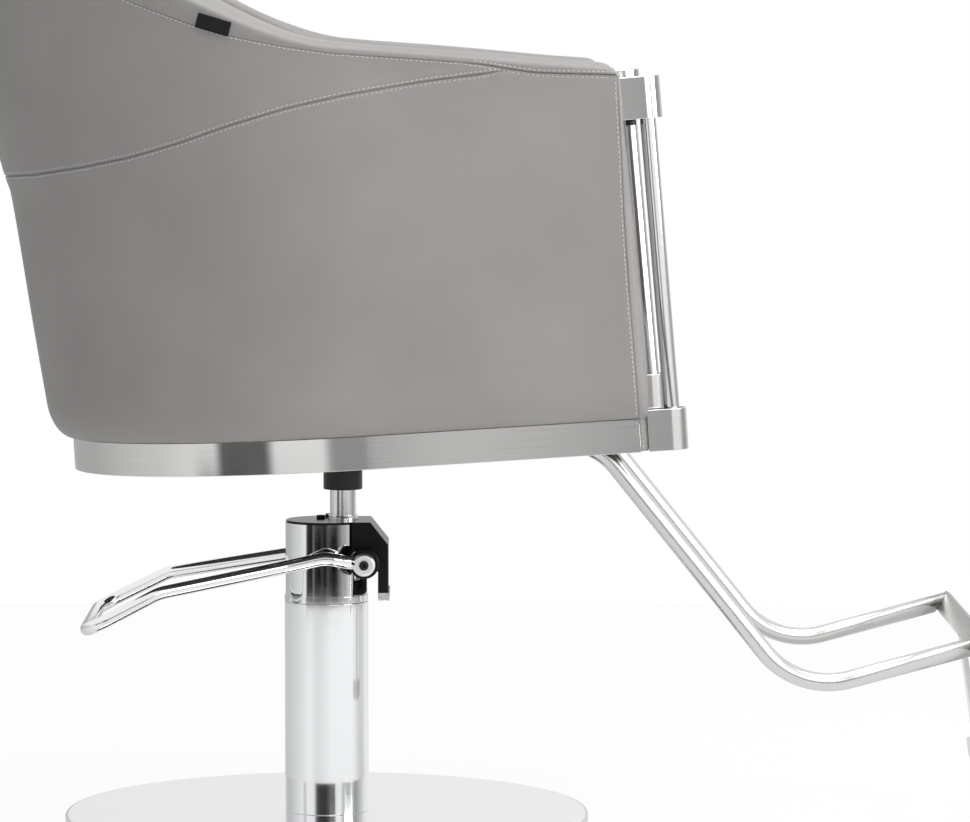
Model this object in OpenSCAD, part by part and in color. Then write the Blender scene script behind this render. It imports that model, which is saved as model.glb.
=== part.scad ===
// Hydraulic hairdressing chair: tub seat on a pump column, round base, pump pedal and footrest.
// Millimetres. Origin on the floor under the column's axis, +X to the front, +Z up.
// Seat pieces are drawn in a seat frame (x forward, z up) that is tilted as the seat is.

/* [Base] */
// Diameter of the polished base
base_d = 565; // [480:5:640]
// Height of the polished top above the floor
base_h = 15; // [13:0.5:22]
// Thickness of the polished cover sheet
cover_t = 1.5; // [1:0.1:2.5]
// Thickness of the rubber floor pad
pad_t = 3; // [2:0.5:4]
// Diameter of the bolts through the base
base_bolt_d = 10; // [8:1:12]
// Diameter of the circle that the base bolts lie on
base_bolt_pcd = 60; // [54:1:64]

/* [Column] */
// Outer diameter of the column cover
column_d = 90; // [86:1:110]
// Height of the column cover, base to pump head
column_h = 228; // [200:1:270]
// Wall of the column cover
column_wall = 1.5; // [1:0.1:3]
// Diameter of the pump head
head_d = 88; // [86:1:108]
// Height of the pump head
head_h = 85; // [80:1:100]
// Distance of the piston rod in front of the column's axis
rod_x = 18; // [15:0.5:18]
// Diameter of the piston rod
rod_d = 28; // [24:1:28]
// Bore of the pressure cylinder
cylinder_bore_d = 32; // [29:1:32]
// Travel of the seat, lowest to highest
lift_travel = 150; // [100:5:160]
// Rod that shows under the seat hub at the lowest seat
rod_gap = 33; // [20:1:60]
// Outer diameter of the seat hub
hub_d = 42; // [38:1:60]
// Seat hub that shows below the seat band
hub_show = 41; // [30:1:70]

/* [Pump linkage] */
// Distance of the pedal pivot in front of the column's axis
pivot_x = 41.5; // [41.5:0.5:46]
// Depth of the pedal pivot below the head's top
pivot_drop = 40; // [36:1:44]
// Diameter of the pedal shaft
shaft_d = 10; // [8:0.5:10]
// Length of the arm that presses the plunger
arm_l = 11.5; // [11:0.5:12]
// Diameter of the plunger
plunger_d = 8; // [6:0.5:8]
// Sheet thickness of the pump hood
hood_t = 2.5; // [1.5:0.5:3]
// Outer width of the pump hood
hood_w = 74; // [72:1:78]
// Depth of the hood's legs below the head's top
hood_drop = 80; // [60:1:82]

/* [Pedal] */
// Diameter of the pedal rod
pedal_d = 14; // [10:1:16]
// Reach of the pedal behind its pivot
pedal_reach = 294; // [220:2:360]
// Height of the pedal's end below its pivot
pedal_fall = 65; // [40:1:90]
// Width of the pedal at its end, middle of rod to middle of rod
pedal_w = 240; // [220:2:280]
// Diameter of the pedal's eyes
eye_d = 24; // [20:1:30]
// Diameter of the black pedal hubs
pedal_hub_d = 32; // [26:1:34]
// Angle from the raised pedal to the pressed one
pedal_swing = 25; // [15:1:26]

/* [Seat] */
// Forward rise of the seat, in degrees
seat_tilt = 3.6; // [0:0.1:5]
// Height of the steel band
band_h = 35; // [30:1:50]
// Thickness of the steel band
band_t = 2; // [1:0.5:4]
// Half width of the seat band
half_w = 268; // [245:1:300]
// Distance from the column's axis to where the sides begin to turn
turn_x = 50; // [20:5:90]
// Length of the rounded rear, from there back
rear_len = 320; // [280:5:350]
// Distance from the column's axis to the arms' front
front_x = 338; // [320:1:370]
// Thickness of the seat board
board_t = 15; // [12:1:15]
// Thickness of the seat plate
plate_t = 5; // [3:0.5:6]
// Width and length of the seat plate
plate_w = 180; // [140:5:220]
// Height of the cushion's edge above the band
cushion_h = 68; // [50:1:90]
// Rise of the cushion's middle above its edge
cushion_crown = 12; // [4:1:25]

/* [Shell] */
// Height of the arms' seam at the front, above the band's lower edge
arm_h = 388; // [340:1:430]
// Rise of the arms towards the back, in degrees
arm_rise = 8; // [2:0.5:12]
// Further rise of the back above the arms
back_rise = 109; // [60:1:180]
// Crown of the padding above the seam
crown_h = 9; // [5:0.5:16]
// Thickness of the outer cover
skin_t = 5; // [3:0.5:8]
// Thickness of the shell's core
core_t = 18; // [12:1:20]
// Thickness of the inner padding
padding_t = 33; // [26:1:45]
// Thickness of the arms' front facings
facing_t = 8; // [6:0.5:12]

/* [Arm fronts] */
// Diameter of the upright tubes before the arms
arm_tube_d = 16.5; // [12:0.5:19]
// Height of the steel brackets
bracket_h = 43; // [34:1:50]
// Thickness of the bracket strip
bracket_t = 3; // [2:0.5:4]
// Width of the brackets
bracket_w = 32; // [30:1:38]
// Length of the brackets, arm to nose
bracket_l = 41; // [40:1:48]

/* [Footrest] */
// Diameter of the footrest tubes
rest_tube_d = 19; // [16:1:19]
// Distance between the footrest tubes, middle to middle
rest_w = 400; // [340:5:410]
// Place of the upper bend, before the column's axis
rest_top_x = 284; // [260:2:300]
// Drop of the slanted stretch, bend to bend
rest_drop = 265; // [180:5:280]
// Slope of the slanted stretch, in degrees
rest_slope = 51.4; // [45:0.5:65]
// Length of the footrest, lower bend to cross bar, along the ground
rest_reach = 187; // [120:1:240]
// Rise of that stretch, in degrees
rest_rise = 15; // [8:0.5:20]
// Width of the flat cross bars
bar_w = 23; // [18:1:40]
// Thickness of the flat cross bars
bar_t = 5; // [3:0.5:6]
// Drop from the cross bar to the tread
tread_drop = 152; // [60:2:155]
// Length of the tread
tread_l = 320; // [200:10:380]

/* [Hidden] */
$fn = 96;

// Clearances: between pieces at rest, round a running shaft, and the overrun of a cut
gap = 0.3;
fit = 0.05;
cut = 1;

// Base, from the floor up
rim_lift = 1;
weight_d = base_d - 2 * cover_t - 2 * gap;
weight_top = base_h - cover_t;
bolt_head_d = 1.6 * base_bolt_d;
bolt_head_h = 0.6 * base_bolt_d;
bolt_head_z = pad_t + gap;
bolt_room = 1;
foot_h = 18;
foot_top = base_h + foot_h;
bolt_angles = [45, 135, 225, 315];

// Pump, from the base up
head_z = base_h + column_h;
head_top = head_z + head_h;
tube_wall = 3;
tank_gap = 2;
reservoir_d = column_d - 2 * (column_wall + tank_gap);
cylinder_wall = 2.5;
cylinder_d = cylinder_bore_d + 2 * cylinder_wall;
hollow_depth = 60.5;
head_floor = head_h - hollow_depth;
cylinder_top = head_z + head_floor / 2;
flange_h = 7;
shaft_room = 0.5;
flat_x = pivot_x - shaft_d / 2 - shaft_room;
gland_wall = 2;
gland_d = rod_d + 2 * gland_wall;
gland_h = 22;
gland_collar_h = 7.5;
gland_z = head_top - gland_h;
seal_h = 4;
piston_rise = 12;
piston_z = foot_top + piston_rise;
piston_h = 20;
stop_l = cylinder_top - piston_z - piston_h - lift_travel - gap;
rod_step = 2;
spigot_d = rod_d - 2 * rod_step;
groove_depth = 1.5;
groove_d = cylinder_bore_d - 2 * groove_depth;
hood_top = head_top + hood_t;
sleeve_z = hood_top + rod_gap;
seat_z = sleeve_z + hub_show;

// Pump linkage; the plunger stands beside the rod on the near side
pivot_z = head_top - pivot_drop;
arm_w = 8;
arm_wall = 3;
arm_hub_d = shaft_d + 2 * arm_wall;
nose_r = 6;
plunger_x = pivot_x - arm_l;
plunger_y = -25;
plunger_top = pivot_z - nose_r - gap;
plunger_cap_h = 3.5;
cap_rim = 2;
plunger_cap_d = plunger_d + 2 * cap_rim;
bore_floor = 4;
plunger_bore_z = head_z + bore_floor;
spring_pressed = 6.14;
spring_l = spring_pressed + arm_l * sin(pedal_swing);
plunger_bottom = plunger_bore_z + spring_l;
spring_wall = 1;
pocket_floor = head_z + head_floor;
pocket_room = 1;
pocket_w = plunger_cap_d + 2 * pocket_room;
bush_wall = 3;
bush_d = shaft_d + 2 * bush_wall;
bush_rim_w = 2;
bush_rim_d = bush_d + 2 * bush_rim_w;
bush_rim_t = 0.6;
hood_x = 28;
hood_flat = 20;
hood_slope_run = 19;
hood_slope_fall = 24;
hood_front = hood_x + hood_flat + hood_slope_run;
hood_leg_w = 11;
hood_inset = 0.5;
hood_disc_d = head_d - 2 * hood_inset;
trim_h = 8;
trim_t = 1;
screw_d = 9.5;
screw_h = 3;
screw_place_shares = [[-0.14, 0.36], [0.07, 0.73]];

// Pedal, as shares of its reach, of the way from eye to end width, and of its fall
pedal_hub_t = 22;
pedal_hub_y = hood_w / 2 + bush_rim_t + gap;
eye_t = pedal_d;
pedal_bolt_d = 0.8 * shaft_d;
bolt_cap_d = 10;
bolt_cap_t = 2;
pedal_x_shares = [0.035, 0.139, 0.284, 0.736, 1];
pedal_y_shares = [0, 0, 0.06, 0.7, 1];
pedal_z_shares = [-0.04, -0.11, 0.03, 0.4, 1];
pedal_bends = [0, 40, 60, 50, 24];

// Seat and shell, in the seat frame
band_bevel = 8;
board_top = band_h - gap;
board_z = board_top - board_t;
plate_z = board_z - plate_t;
plate_bolt_d = 8;
plate_bolt_inset = 20;
board_skin = 2;
hub_bore_d = rod_d + 2 * fit;
wall_t = skin_t + core_t + padding_t + 2 * gap;
front_lean = 1.2;
front_end = front_x - facing_t - gap - band_h * tan(front_lean);
tuck = 1.5;
corner_h = 36;
side_corner = 16;
rear_corner = 20;
side_lean = 2;
rear_lean = 5.9;
upper_lean = 14;
bend_drop = 88;
bend_h = arm_h - bend_drop;
rise_lag = 5;
rise_x = turn_x - rise_lag;
side_shares = [0, 0.045, 0.36, 0.68];
level_shares = [0, 0.05, 0.14, 0.4, 0.65, 0.85, 1];
arc_steps = 36;
// Crown of the padding: share of its width from the inside out, share of the crown's height
crown_shares = [[0.1, 0.55], [0.32, 0.94], [0.62, 1], [0.9, 0.68], [1, 0.25]];
front_crown_share = 0.3;
post_depth = 30;
post_rise = 16;
post_z = band_h + corner_h + post_rise;
cushion_gap = 2.5;
cushion_front = 8;
apron_r = 5;
cushion_rows = [[0, 0.955], [0.12, 0.985], [0.45, 1], [0.8, 0.992], [0.95, 0.965], [1, 0.92]];
cushion_crown_shares = [0.78, 0.55, 0.28];
front_steps = 8;
tag_l = 35;
tag_h = 15;
tag_t = 1.2;
tag_turn = 249;
tag_slope = -17;
tag_drop_share = 0.7;
tag_off = 0.55;
tag_step = 2;

// Arm-front tubes, in the seat frame: how far the tube stands before the arm at each bracket
nose_out_r = bracket_w / 2;
bracket_drop = 3;
upper_bracket_z = arm_h - bracket_drop - bracket_h;
low_bracket_y = half_w - nose_out_r;
bracket_out = 7;
high_bracket_y = half_w + bracket_out;
bracket_bolt_d = 6;
screw_head_d = 10.5;
screw_head_h = 6;
screw_back = nose_out_r - bracket_l + screw_head_d / 2 + bracket_t;

// Footrest, in the seat's own upright frame
rest_tube_z = board_z - gap - rest_tube_d / 2;
rest_tail = 170;
rest_top_bend = 70;
rest_low_bend = 86;
rest_top_z = seat_z + rest_tube_z * cos(seat_tilt) + rest_top_x * sin(seat_tilt);
rest_low_x = rest_top_x + rest_drop / tan(rest_slope);
rest_low_z = rest_top_z - rest_drop;
rest_end_x = rest_low_x + rest_reach;
rest_end_z = rest_low_z + rest_reach * tan(rest_rise);
bar_tilt = 60;
bar_over = 9;
strap_w = 30;
strap_lean = 8;
clamp_t = 2;
clamp_l = 24;
clamp_ear = 14;
clamp_bolt_d = 6;
clamp_place_shares = [0.28, 0.8];

function lerp(a, b, t) = a + (b - a) * t;
function smooth(t) = let (c = min(1, max(0, t))) c * c * (3 - 2 * c);
function reverse(list) = [for (i = [len(list) - 1:-1:0]) list[i]];
function unit(v) = v / norm(v);

// The shell's columns run from the left arm's front, round the back, to the right arm's front:
// [0, share, side] on the straight sides and [1, angle, 0] round the rear.
cols = concat(
    [for (s = side_shares) [0, s, 1]],
    [for (k = [0:arc_steps]) [1, 90 + 180 * k / arc_steps, 0]],
    [for (s = reverse(side_shares)) [0, s, -1]]
);

function front_at(w) = front_x - w * tan(front_lean);
function col_base(c, w, back) = c[0] == 0
    ? [lerp(front_at(w) - back, turn_x, c[1]), c[2] * half_w]
    : [turn_x + rear_len * cos(c[1]), half_w * sin(c[1])];
function col_normal(c) = c[0] == 0
    ? [0, c[2]]
    : unit([cos(c[1]) / rear_len, sin(c[1]) / half_w]);
function rearness(c) = pow(max(0, -col_normal(c)[0]), 1.5);

// How far the shell stands out from the band's outline at height w
function swell(w) = let (t = min(1, max(0, (w - band_h) / corner_h))) sqrt(1 - (1 - t) * (1 - t));
function side_out(w) = tuck + side_corner * swell(w) + max(0, w - band_h) * tan(side_lean);
function rear_out(w) = tuck + rear_corner * swell(w) + max(0, w - band_h) * tan(rear_lean)
    + max(0, w - bend_h) * (tan(upper_lean) - tan(rear_lean));
function shell_out(c, w) = lerp(side_out(w), rear_out(w), rearness(c));
function seam_z(c) = let (x = col_base(c, arm_h, 0)[0]) arm_h + (front_x - x) * tan(arm_rise)
    + back_rise * smooth((rise_x - x) / (rise_x - turn_x + rear_len));
function shell_point(c, w, d, back) = let (b = col_base(c, w, back), n = col_normal(c),
    o = shell_out(c, w) + d) [b[0] + n[0] * o, b[1] + n[1] * o, w];
function levels(low, top) = [for (s = level_shares) lerp(low, top, s)];

// Flat sheet of the wall between the depths d0 (outside) and d1 (inside)
function wall_ring(c, d0, d1, back, low, top) = let (hs = levels(low, top)) concat(
    [for (w = hs) shell_point(c, w, d1, back)],
    [for (w = reverse(hs)) shell_point(c, w, d0, back)]
);
function crown_at(c) = c[0] == 0 && c[1] == 0 ? crown_h * front_crown_share : crown_h;
function padding_ring(c, back) = let (
    d_in = -wall_t, d_mate = -(skin_t + core_t + 2 * gap),
    low = band_h + gap, top = seam_z(c),
    hs = levels(low, top)
) concat(
    [for (w = hs) shell_point(c, w, d_in, back)],
    [for (s = crown_shares) let (p = shell_point(c, top, lerp(d_in, 0, s[0]), back))
        [p[0], p[1], top + crown_at(c) * s[1]]],
    [for (s = reverse(crown_shares)) let (p = shell_point(c, top, lerp(d_mate, 0, s[0]), back))
        [p[0], p[1], top + gap]],
    [for (i = [len(hs) - 1:-1:0]) let (p = shell_point(c, hs[i], d_mate, back))
        i == len(hs) - 1 ? [p[0], p[1], top + gap] : p]
);

// Solid through a row of rings whose first and second halves face each other. Both halves are
// split along the same diagonals, so that two layers of the wall keep their distance.
module loft(rings) {
    n = len(rings[0]);
    m = n / 2;
    last = len(rings) - 1;
    faces = concat(
        [for (i = [0:last - 1], j = [0:n - 1]) let (k = (j + 1) % n)
            [i * n + j, i * n + k, (i + 1) * n + (j < m ? j : k)]],
        [for (i = [0:last - 1], j = [0:n - 1]) let (k = (j + 1) % n)
            [i * n + (j < m ? k : j), (i + 1) * n + k, (i + 1) * n + j]],
        [for (j = [0:m - 2]) [j, n - 1 - j, j + 1]],
        [for (j = [0:m - 2]) [j + 1, n - 1 - j, n - 2 - j]],
        [for (j = [0:m - 2]) [last * n + j, last * n + j + 1, last * n + n - 1 - j]],
        [for (j = [0:m - 2]) [last * n + j + 1, last * n + n - 2 - j, last * n + n - 1 - j]]
    );
    polyhedron([for (r = rings) each r], faces);
}

// Route with its corners rounded: arcs are worked out from each corner's bend radius
function corner_arc(a, b, c, r, steps) = r == 0 ? [b] : let (
    u = unit(a - b), v = unit(c - b), half = acos(u * v) / 2,
    reach = r / tan(half), middle = b + unit(u + v) * (r / sin(half)),
    p = b + u * reach, q = b + v * reach, turn = 180 - 2 * half,
    e = unit(p - middle), g = unit((q - middle) - ((q - middle) * e) * e)
) [for (k = [0:steps]) middle + r * (e * cos(turn * k / steps) + g * sin(turn * k / steps))];
function rounded(points, radii, steps) = let (last = len(points) - 1) concat(
    [points[0]],
    [for (i = [1:last - 1])
        each corner_arc(points[i - 1], points[i], points[i + 1], radii[i], steps)],
    [points[last]]
);

// Round bar along a route; each ring stands square to the way there and does not twist
function route_way(p, i) = unit(unit(p[min(i + 1, len(p) - 1)] - p[max(i, 0)] + (i == len(p) - 1
    ? p[i] - p[i - 1] : [0, 0, 0])) + unit(p[max(i, 1)] - p[max(i, 1) - 1]));
function route_side(p, i, start) = let (t = route_way(p, i),
    before = i == 0 ? start : route_side(p, i - 1, start)) unit(before - (before * t) * t);
module round_bar(p, d, start, sides = 16) {
    n = len(p);
    rings = [for (i = [0:n - 1]) let (t = route_way(p, i), s = route_side(p, i, start),
        q = cross(t, s)) each [for (k = [0:sides - 1])
        p[i] + d / 2 * (s * cos(360 * k / sides) + q * sin(360 * k / sides))]];
    faces = concat(
        [for (i = [0:n - 2], k = [0:sides - 1])
            [i * sides + k, (i + 1) * sides + k, i * sides + (k + 1) % sides]],
        [for (i = [0:n - 2], k = [0:sides - 1])
            [i * sides + (k + 1) % sides, (i + 1) * sides + k, (i + 1) * sides + (k + 1) % sides]],
        [for (k = [1:sides - 2]) [0, k, k + 1]],
        [for (k = [1:sides - 2]) [(n - 1) * sides, (n - 1) * sides + k + 1, (n - 1) * sides + k]]
    );
    polyhedron(rings, faces);
}

module disc(d, h) { cylinder(d = d, h = h); }
module along_y(d, h) { rotate([90, 0, 0]) cylinder(d = d, h = h, center = true); }
module both_sides() { children(); mirror([0, 1, 0]) children(); }
module seat_frame() { translate([0, 0, seat_z]) rotate([0, -seat_tilt, 0]) children(); }
module base_bolt_places() {
    for (a = bolt_angles) rotate([0, 0, a]) translate([base_bolt_pcd / 2, 0, 0]) children();
}

// Base
module floor_pad() {
    color("dimgray") disc(weight_d - 2 * cover_t, pad_t);
}
module base_weight() {
    color("slategray") difference() {
        translate([0, 0, pad_t]) disc(weight_d, weight_top - pad_t);
        base_bolt_places() {
            translate([0, 0, pad_t - cut]) disc(bolt_head_d + 2 * bolt_room, bolt_head_h + 2 * gap + cut);
            translate([0, 0, pad_t]) disc(base_bolt_d + bolt_room, base_h);
        }
    }
}
module base_cover() {
    color("gainsboro") difference() {
        translate([0, 0, rim_lift]) disc(base_d, base_h - rim_lift);
        translate([0, 0, -cut]) disc(base_d - 2 * cover_t, weight_top + cut);
        base_bolt_places() disc(base_bolt_d + bolt_room, base_h + cut);
    }
}
module base_bolts() {
    color("silver") base_bolt_places() {
        translate([0, 0, bolt_head_z]) disc(bolt_head_d, bolt_head_h);
        translate([0, 0, bolt_head_z]) disc(base_bolt_d, foot_top - foot_h / 4 - bolt_head_z);
    }
}

// Column and pump
module pump_foot() {
    color("dimgray") difference() {
        translate([0, 0, base_h]) disc(column_d - 2 * column_wall - 2 * gap, foot_h);
        base_bolt_places() translate([0, 0, base_h - cut])
            disc(base_bolt_d + 2 * fit, foot_h + cut - foot_h / 4 + gap);
    }
}
module column_cover() {
    color("gainsboro") translate([0, 0, base_h]) difference() {
        disc(column_d, column_h - gap);
        translate([0, 0, -cut]) disc(column_d - 2 * column_wall, column_h + 2 * cut);
    }
}
module reservoir_tube() {
    color("dimgray") translate([0, 0, foot_top]) difference() {
        disc(reservoir_d, column_h - foot_h - gap);
        translate([0, 0, -cut]) disc(reservoir_d - 2 * tube_wall, column_h + cut);
    }
}
module pressure_cylinder() {
    color("gray") translate([rod_x, 0, foot_top]) difference() {
        disc(cylinder_d, cylinder_top - foot_top);
        translate([0, 0, -cut]) disc(cylinder_bore_d, cylinder_top - foot_top + 2 * cut);
    }
}
module pump_head() {
    color("silver") difference() {
        union() {
            translate([0, 0, head_z]) disc(head_d, head_h);
            translate([0, 0, head_z]) disc(column_d, flange_h);
        }
        translate([flat_x, -head_d, pocket_floor]) cube([head_d, 2 * head_d, head_h]);
        translate([plunger_x - nose_r - 2 * pocket_room, plunger_y - pocket_w / 2, pocket_floor])
            cube([head_d, pocket_w, head_h]);
        translate([rod_x, 0, head_z - cut])
            disc(cylinder_d + 2 * fit, cylinder_top - head_z + cut);
        translate([rod_x, 0, head_z]) disc(rod_d + 4 * fit, head_h + cut);
        translate([rod_x, 0, gland_z - seal_h - gap]) disc(gland_d + 2 * fit, head_h);
        translate([plunger_x, plunger_y, plunger_bore_z])
            disc(plunger_d + 2 * fit, pocket_floor - plunger_bore_z + cut);
        screw_holes(screw_d / 2);
    }
}
module screw_holes(d) {
    for (s = screw_place_shares)
        translate([s[0] * head_d / 2, s[1] * head_d / 2, head_top - screw_d]) disc(d, 2 * screw_d);
}
module rod_gland() {
    color("gray") translate([rod_x, 0, gland_z]) difference() {
        disc(gland_d, gland_h + gland_collar_h);
        translate([0, 0, -cut]) disc(rod_d + 2 * fit, gland_h + gland_collar_h + 2 * cut);
    }
}
module rod_seal() {
    color("black") translate([rod_x, 0, gland_z - seal_h]) difference() {
        disc(gland_d, seal_h);
        translate([0, 0, -cut]) disc(rod_d + 2 * fit, seal_h + 2 * cut);
    }
}

// Hood: one bent sheet over the head's top and round the linkage
module hood_side() {
    rotate([90, 0, 0]) linear_extrude(hood_t, center = true) polygon([
        [hood_x, head_top], [hood_x, pivot_z + shaft_d],
        [pivot_x - bush_rim_d / 2, pivot_z - bush_rim_d / 2 - gap],
        [hood_front - hood_leg_w, pivot_z - bush_rim_d / 2 - gap],
        [hood_front - hood_leg_w, head_top - hood_drop], [hood_front, head_top - hood_drop],
        [hood_front, hood_top - hood_slope_fall], [hood_x + hood_flat, hood_top],
        [hood_x + hood_flat, head_top]
    ]);
}
module hood_strip() {
    rotate([90, 0, 0]) linear_extrude(hood_w, center = true) polygon([
        [0, head_top], [hood_x + hood_flat - hood_t, head_top],
        [hood_front - hood_t, hood_top - hood_slope_fall - hood_t / 2],
        [hood_front - hood_t, head_top - hood_drop], [hood_front, head_top - hood_drop],
        [hood_front, hood_top - hood_slope_fall], [hood_x + hood_flat, hood_top], [0, hood_top]
    ]);
}
module pump_hood() {
    color([0.06, 0.06, 0.07]) difference() {
        union() {
            intersection() {
                hood_strip();
                union() {
                    translate([0, 0, head_top - head_h]) disc(hood_disc_d, 2 * head_h);
                    translate([hood_x, -hood_w, head_top - 2 * head_h])
                        cube([2 * head_h, 2 * hood_w, 4 * head_h]);
                }
            }
            translate([0, 0, head_top]) difference() {
                disc(hood_disc_d, hood_t);
                translate([hood_x, -head_d, -cut]) cube([head_d, 2 * head_d, head_h]);
            }
            both_sides() translate([0, (hood_w - hood_t) / 2, 0]) hood_side();
        }
        translate([rod_x, 0, head_top - cut]) disc(gland_d + 2 * gap, hood_t + 2 * cut);
        translate([pivot_x, 0, pivot_z]) along_y(bush_d, 2 * hood_w);
        screw_holes(screw_d / 2);
    }
}
module hood_screws() {
    color("black") for (s = screw_place_shares)
        translate([s[0] * head_d / 2, s[1] * head_d / 2, hood_top]) {
            difference() {
                disc(screw_d, screw_h);
                translate([0, 0, screw_h / 2]) cylinder(d = screw_d / 2, h = screw_h, $fn = 6);
            }
            translate([0, 0, -screw_d / 2]) disc(screw_d / 2 - 2 * fit, screw_d / 2 + screw_h / 2);
        }
}
module hood_trim() {
    low = head_top - hood_drop - trim_t - gap;
    x0 = hood_front - hood_leg_w;
    color("whitesmoke") difference() {
        translate([x0, -hood_w / 2 - gap - trim_t, low])
            cube([hood_leg_w + gap + trim_t, hood_w + 2 * (gap + trim_t), trim_h]);
        translate([x0 - cut, -hood_w / 2 - gap, low + trim_t])
            cube([hood_leg_w + gap + cut, hood_w + 2 * gap, trim_h]);
        translate([x0 - cut, -hood_w / 2 + hood_t, low - cut])
            cube([hood_leg_w - hood_t + cut, hood_w - 2 * hood_t, trim_h]);
    }
}
module shaft_bushes() {
    color("goldenrod") both_sides() translate([pivot_x, (hood_w - hood_t) / 2, pivot_z])
        difference() {
            union() {
                along_y(bush_d, hood_t);
                translate([0, (hood_t + bush_rim_t) / 2, 0]) along_y(bush_rim_d, bush_rim_t);
            }
            along_y(shaft_d + 2 * fit, 4 * hood_t);
        }
}
module plunger_spring() {
    color("silver") translate([plunger_x, plunger_y, plunger_bore_z]) difference() {
        disc(plunger_d - 4 * fit, plunger_bottom - plunger_bore_z - gap);
        translate([0, 0, -cut]) disc(plunger_d - 2 * spring_wall - 4 * fit, plunger_bottom);
    }
}
module plunger() {
    color("silver") translate([plunger_x, plunger_y, 0]) {
        translate([0, 0, plunger_bottom]) disc(plunger_d, plunger_top - plunger_bottom);
        translate([0, 0, plunger_top - plunger_cap_h]) disc(plunger_cap_d, plunger_cap_h);
    }
}

// Pedal and its shaft
module pedal_shaft() {
    color("silver") translate([pivot_x, 0, pivot_z])
        along_y(shaft_d, 2 * (pedal_hub_y + pedal_hub_t));
}
module pump_arm() {
    color("dimgray") translate([pivot_x, plunger_y, pivot_z]) difference() {
        union() {
            along_y(arm_hub_d, arm_w);
            translate([-arm_l, 0, 0]) along_y(2 * nose_r, arm_w);
            translate([-arm_l, -arm_w / 2, -nose_r]) cube([arm_l, arm_w, 2 * nose_r]);
        }
        along_y(shaft_d + 2 * fit, 2 * arm_w);
    }
}
module pedal_hubs() {
    color([0.08, 0.08, 0.09]) both_sides()
        translate([pivot_x, pedal_hub_y + pedal_hub_t / 2, pivot_z]) difference() {
            along_y(pedal_hub_d, pedal_hub_t);
            along_y(shaft_d + 2 * fit, 2 * pedal_hub_t);
        }
}
module pedal_eyes() {
    color("gainsboro") both_sides()
        translate([pivot_x, pedal_hub_y + pedal_hub_t + gap + eye_t / 2, pivot_z]) difference() {
            along_y(eye_d, eye_t);
            along_y(pedal_bolt_d + 2 * fit, 2 * eye_t);
        }
}
module pedal_bolts() {
    color("silver") both_sides()
        translate([pivot_x, pedal_hub_y + pedal_hub_t + gap, pivot_z]) difference() {
            union() {
                translate([0, (eye_t + bolt_cap_t) / 2, 0]) along_y(pedal_bolt_d, eye_t + bolt_cap_t);
                translate([0, eye_t + gap + bolt_cap_t / 2, 0]) along_y(bolt_cap_d, bolt_cap_t);
            }
            translate([0, eye_t + bolt_cap_t, 0]) rotate([90, 0, 0])
                cylinder(d = bolt_cap_d / 2, h = 4 * bolt_cap_t, center = true, $fn = 6);
        }
}
function pedal_point(i, side) = [
    pivot_x - pedal_reach * pedal_x_shares[i],
    side * lerp(pedal_hub_y + pedal_hub_t + gap + eye_t / 2, pedal_w / 2, pedal_y_shares[i]),
    pivot_z - pedal_fall * pedal_z_shares[i]
];
module pedal_rod() {
    ends = len(pedal_x_shares) - 1;
    route = concat([for (i = [0:ends]) pedal_point(i, -1)], [for (i = [ends:-1:0]) pedal_point(i, 1)]);
    radii = concat(pedal_bends, reverse(pedal_bends));
    color("gainsboro") difference() {
        round_bar(rounded(route, radii, 5), pedal_d, [0, 0, 1]);
        both_sides() translate([pivot_x, pedal_hub_y + pedal_hub_t, pivot_z])
            along_y(eye_d + 2 * gap, 4 * eye_t);
    }
}

// Piston
module piston_head() {
    color("silver") translate([rod_x, 0, piston_z]) difference() {
        disc(cylinder_bore_d - 2 * fit, piston_h);
        translate([0, 0, piston_h / 4]) disc(spigot_d + 2 * fit, piston_h);
        translate([0, 0, -cut]) disc(rod_d / 2, piston_h);
        translate([0, 0, piston_h / 3]) piston_groove();
    }
}
module piston_groove() {
    difference() {
        disc(cylinder_bore_d + cut, seal_h);
        disc(groove_d, seal_h);
    }
}
module piston_seal() {
    color("black") translate([rod_x, 0, piston_z + piston_h / 3 + fit]) difference() {
        disc(cylinder_bore_d - 2 * fit, seal_h - 2 * fit);
        translate([0, 0, -cut]) disc(groove_d, seal_h + cut);
    }
}
module thrust_ring() {
    color("goldenrod") translate([rod_x, 0, piston_z + piston_h]) difference() {
        disc(cylinder_bore_d - 4 * fit, stop_l);
        translate([0, 0, -cut]) disc(spigot_d + 2 * fit, stop_l + 2 * cut);
    }
}
module piston_rod() {
    shoulder = piston_z + piston_h + stop_l;
    color("silver") translate([rod_x, 0, 0]) difference() {
        union() {
            translate([0, 0, shoulder]) disc(rod_d, seat_z + plate_z - shoulder);
            translate([0, 0, piston_z + piston_h / 4 + fit]) disc(spigot_d, piston_h + stop_l);
        }
        seat_cut();
    }
}
// Everything above the seat plate's underside, as a cutter
module seat_cut() {
    translate([-rod_x, 0, 0]) seat_frame() translate([-plate_w, -plate_w, plate_z - gap])
        cube([2 * plate_w, 2 * plate_w, plate_w]);
}
module seat_hub() {
    color([0.1, 0.1, 0.1]) translate([rod_x, 0, 0]) difference() {
        translate([0, 0, sleeve_z]) disc(hub_d, hub_show + 2 * plate_t + plate_z);
        translate([0, 0, sleeve_z - cut]) disc(hub_bore_d, hub_show + plate_w);
        seat_cut();
    }
}

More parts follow.
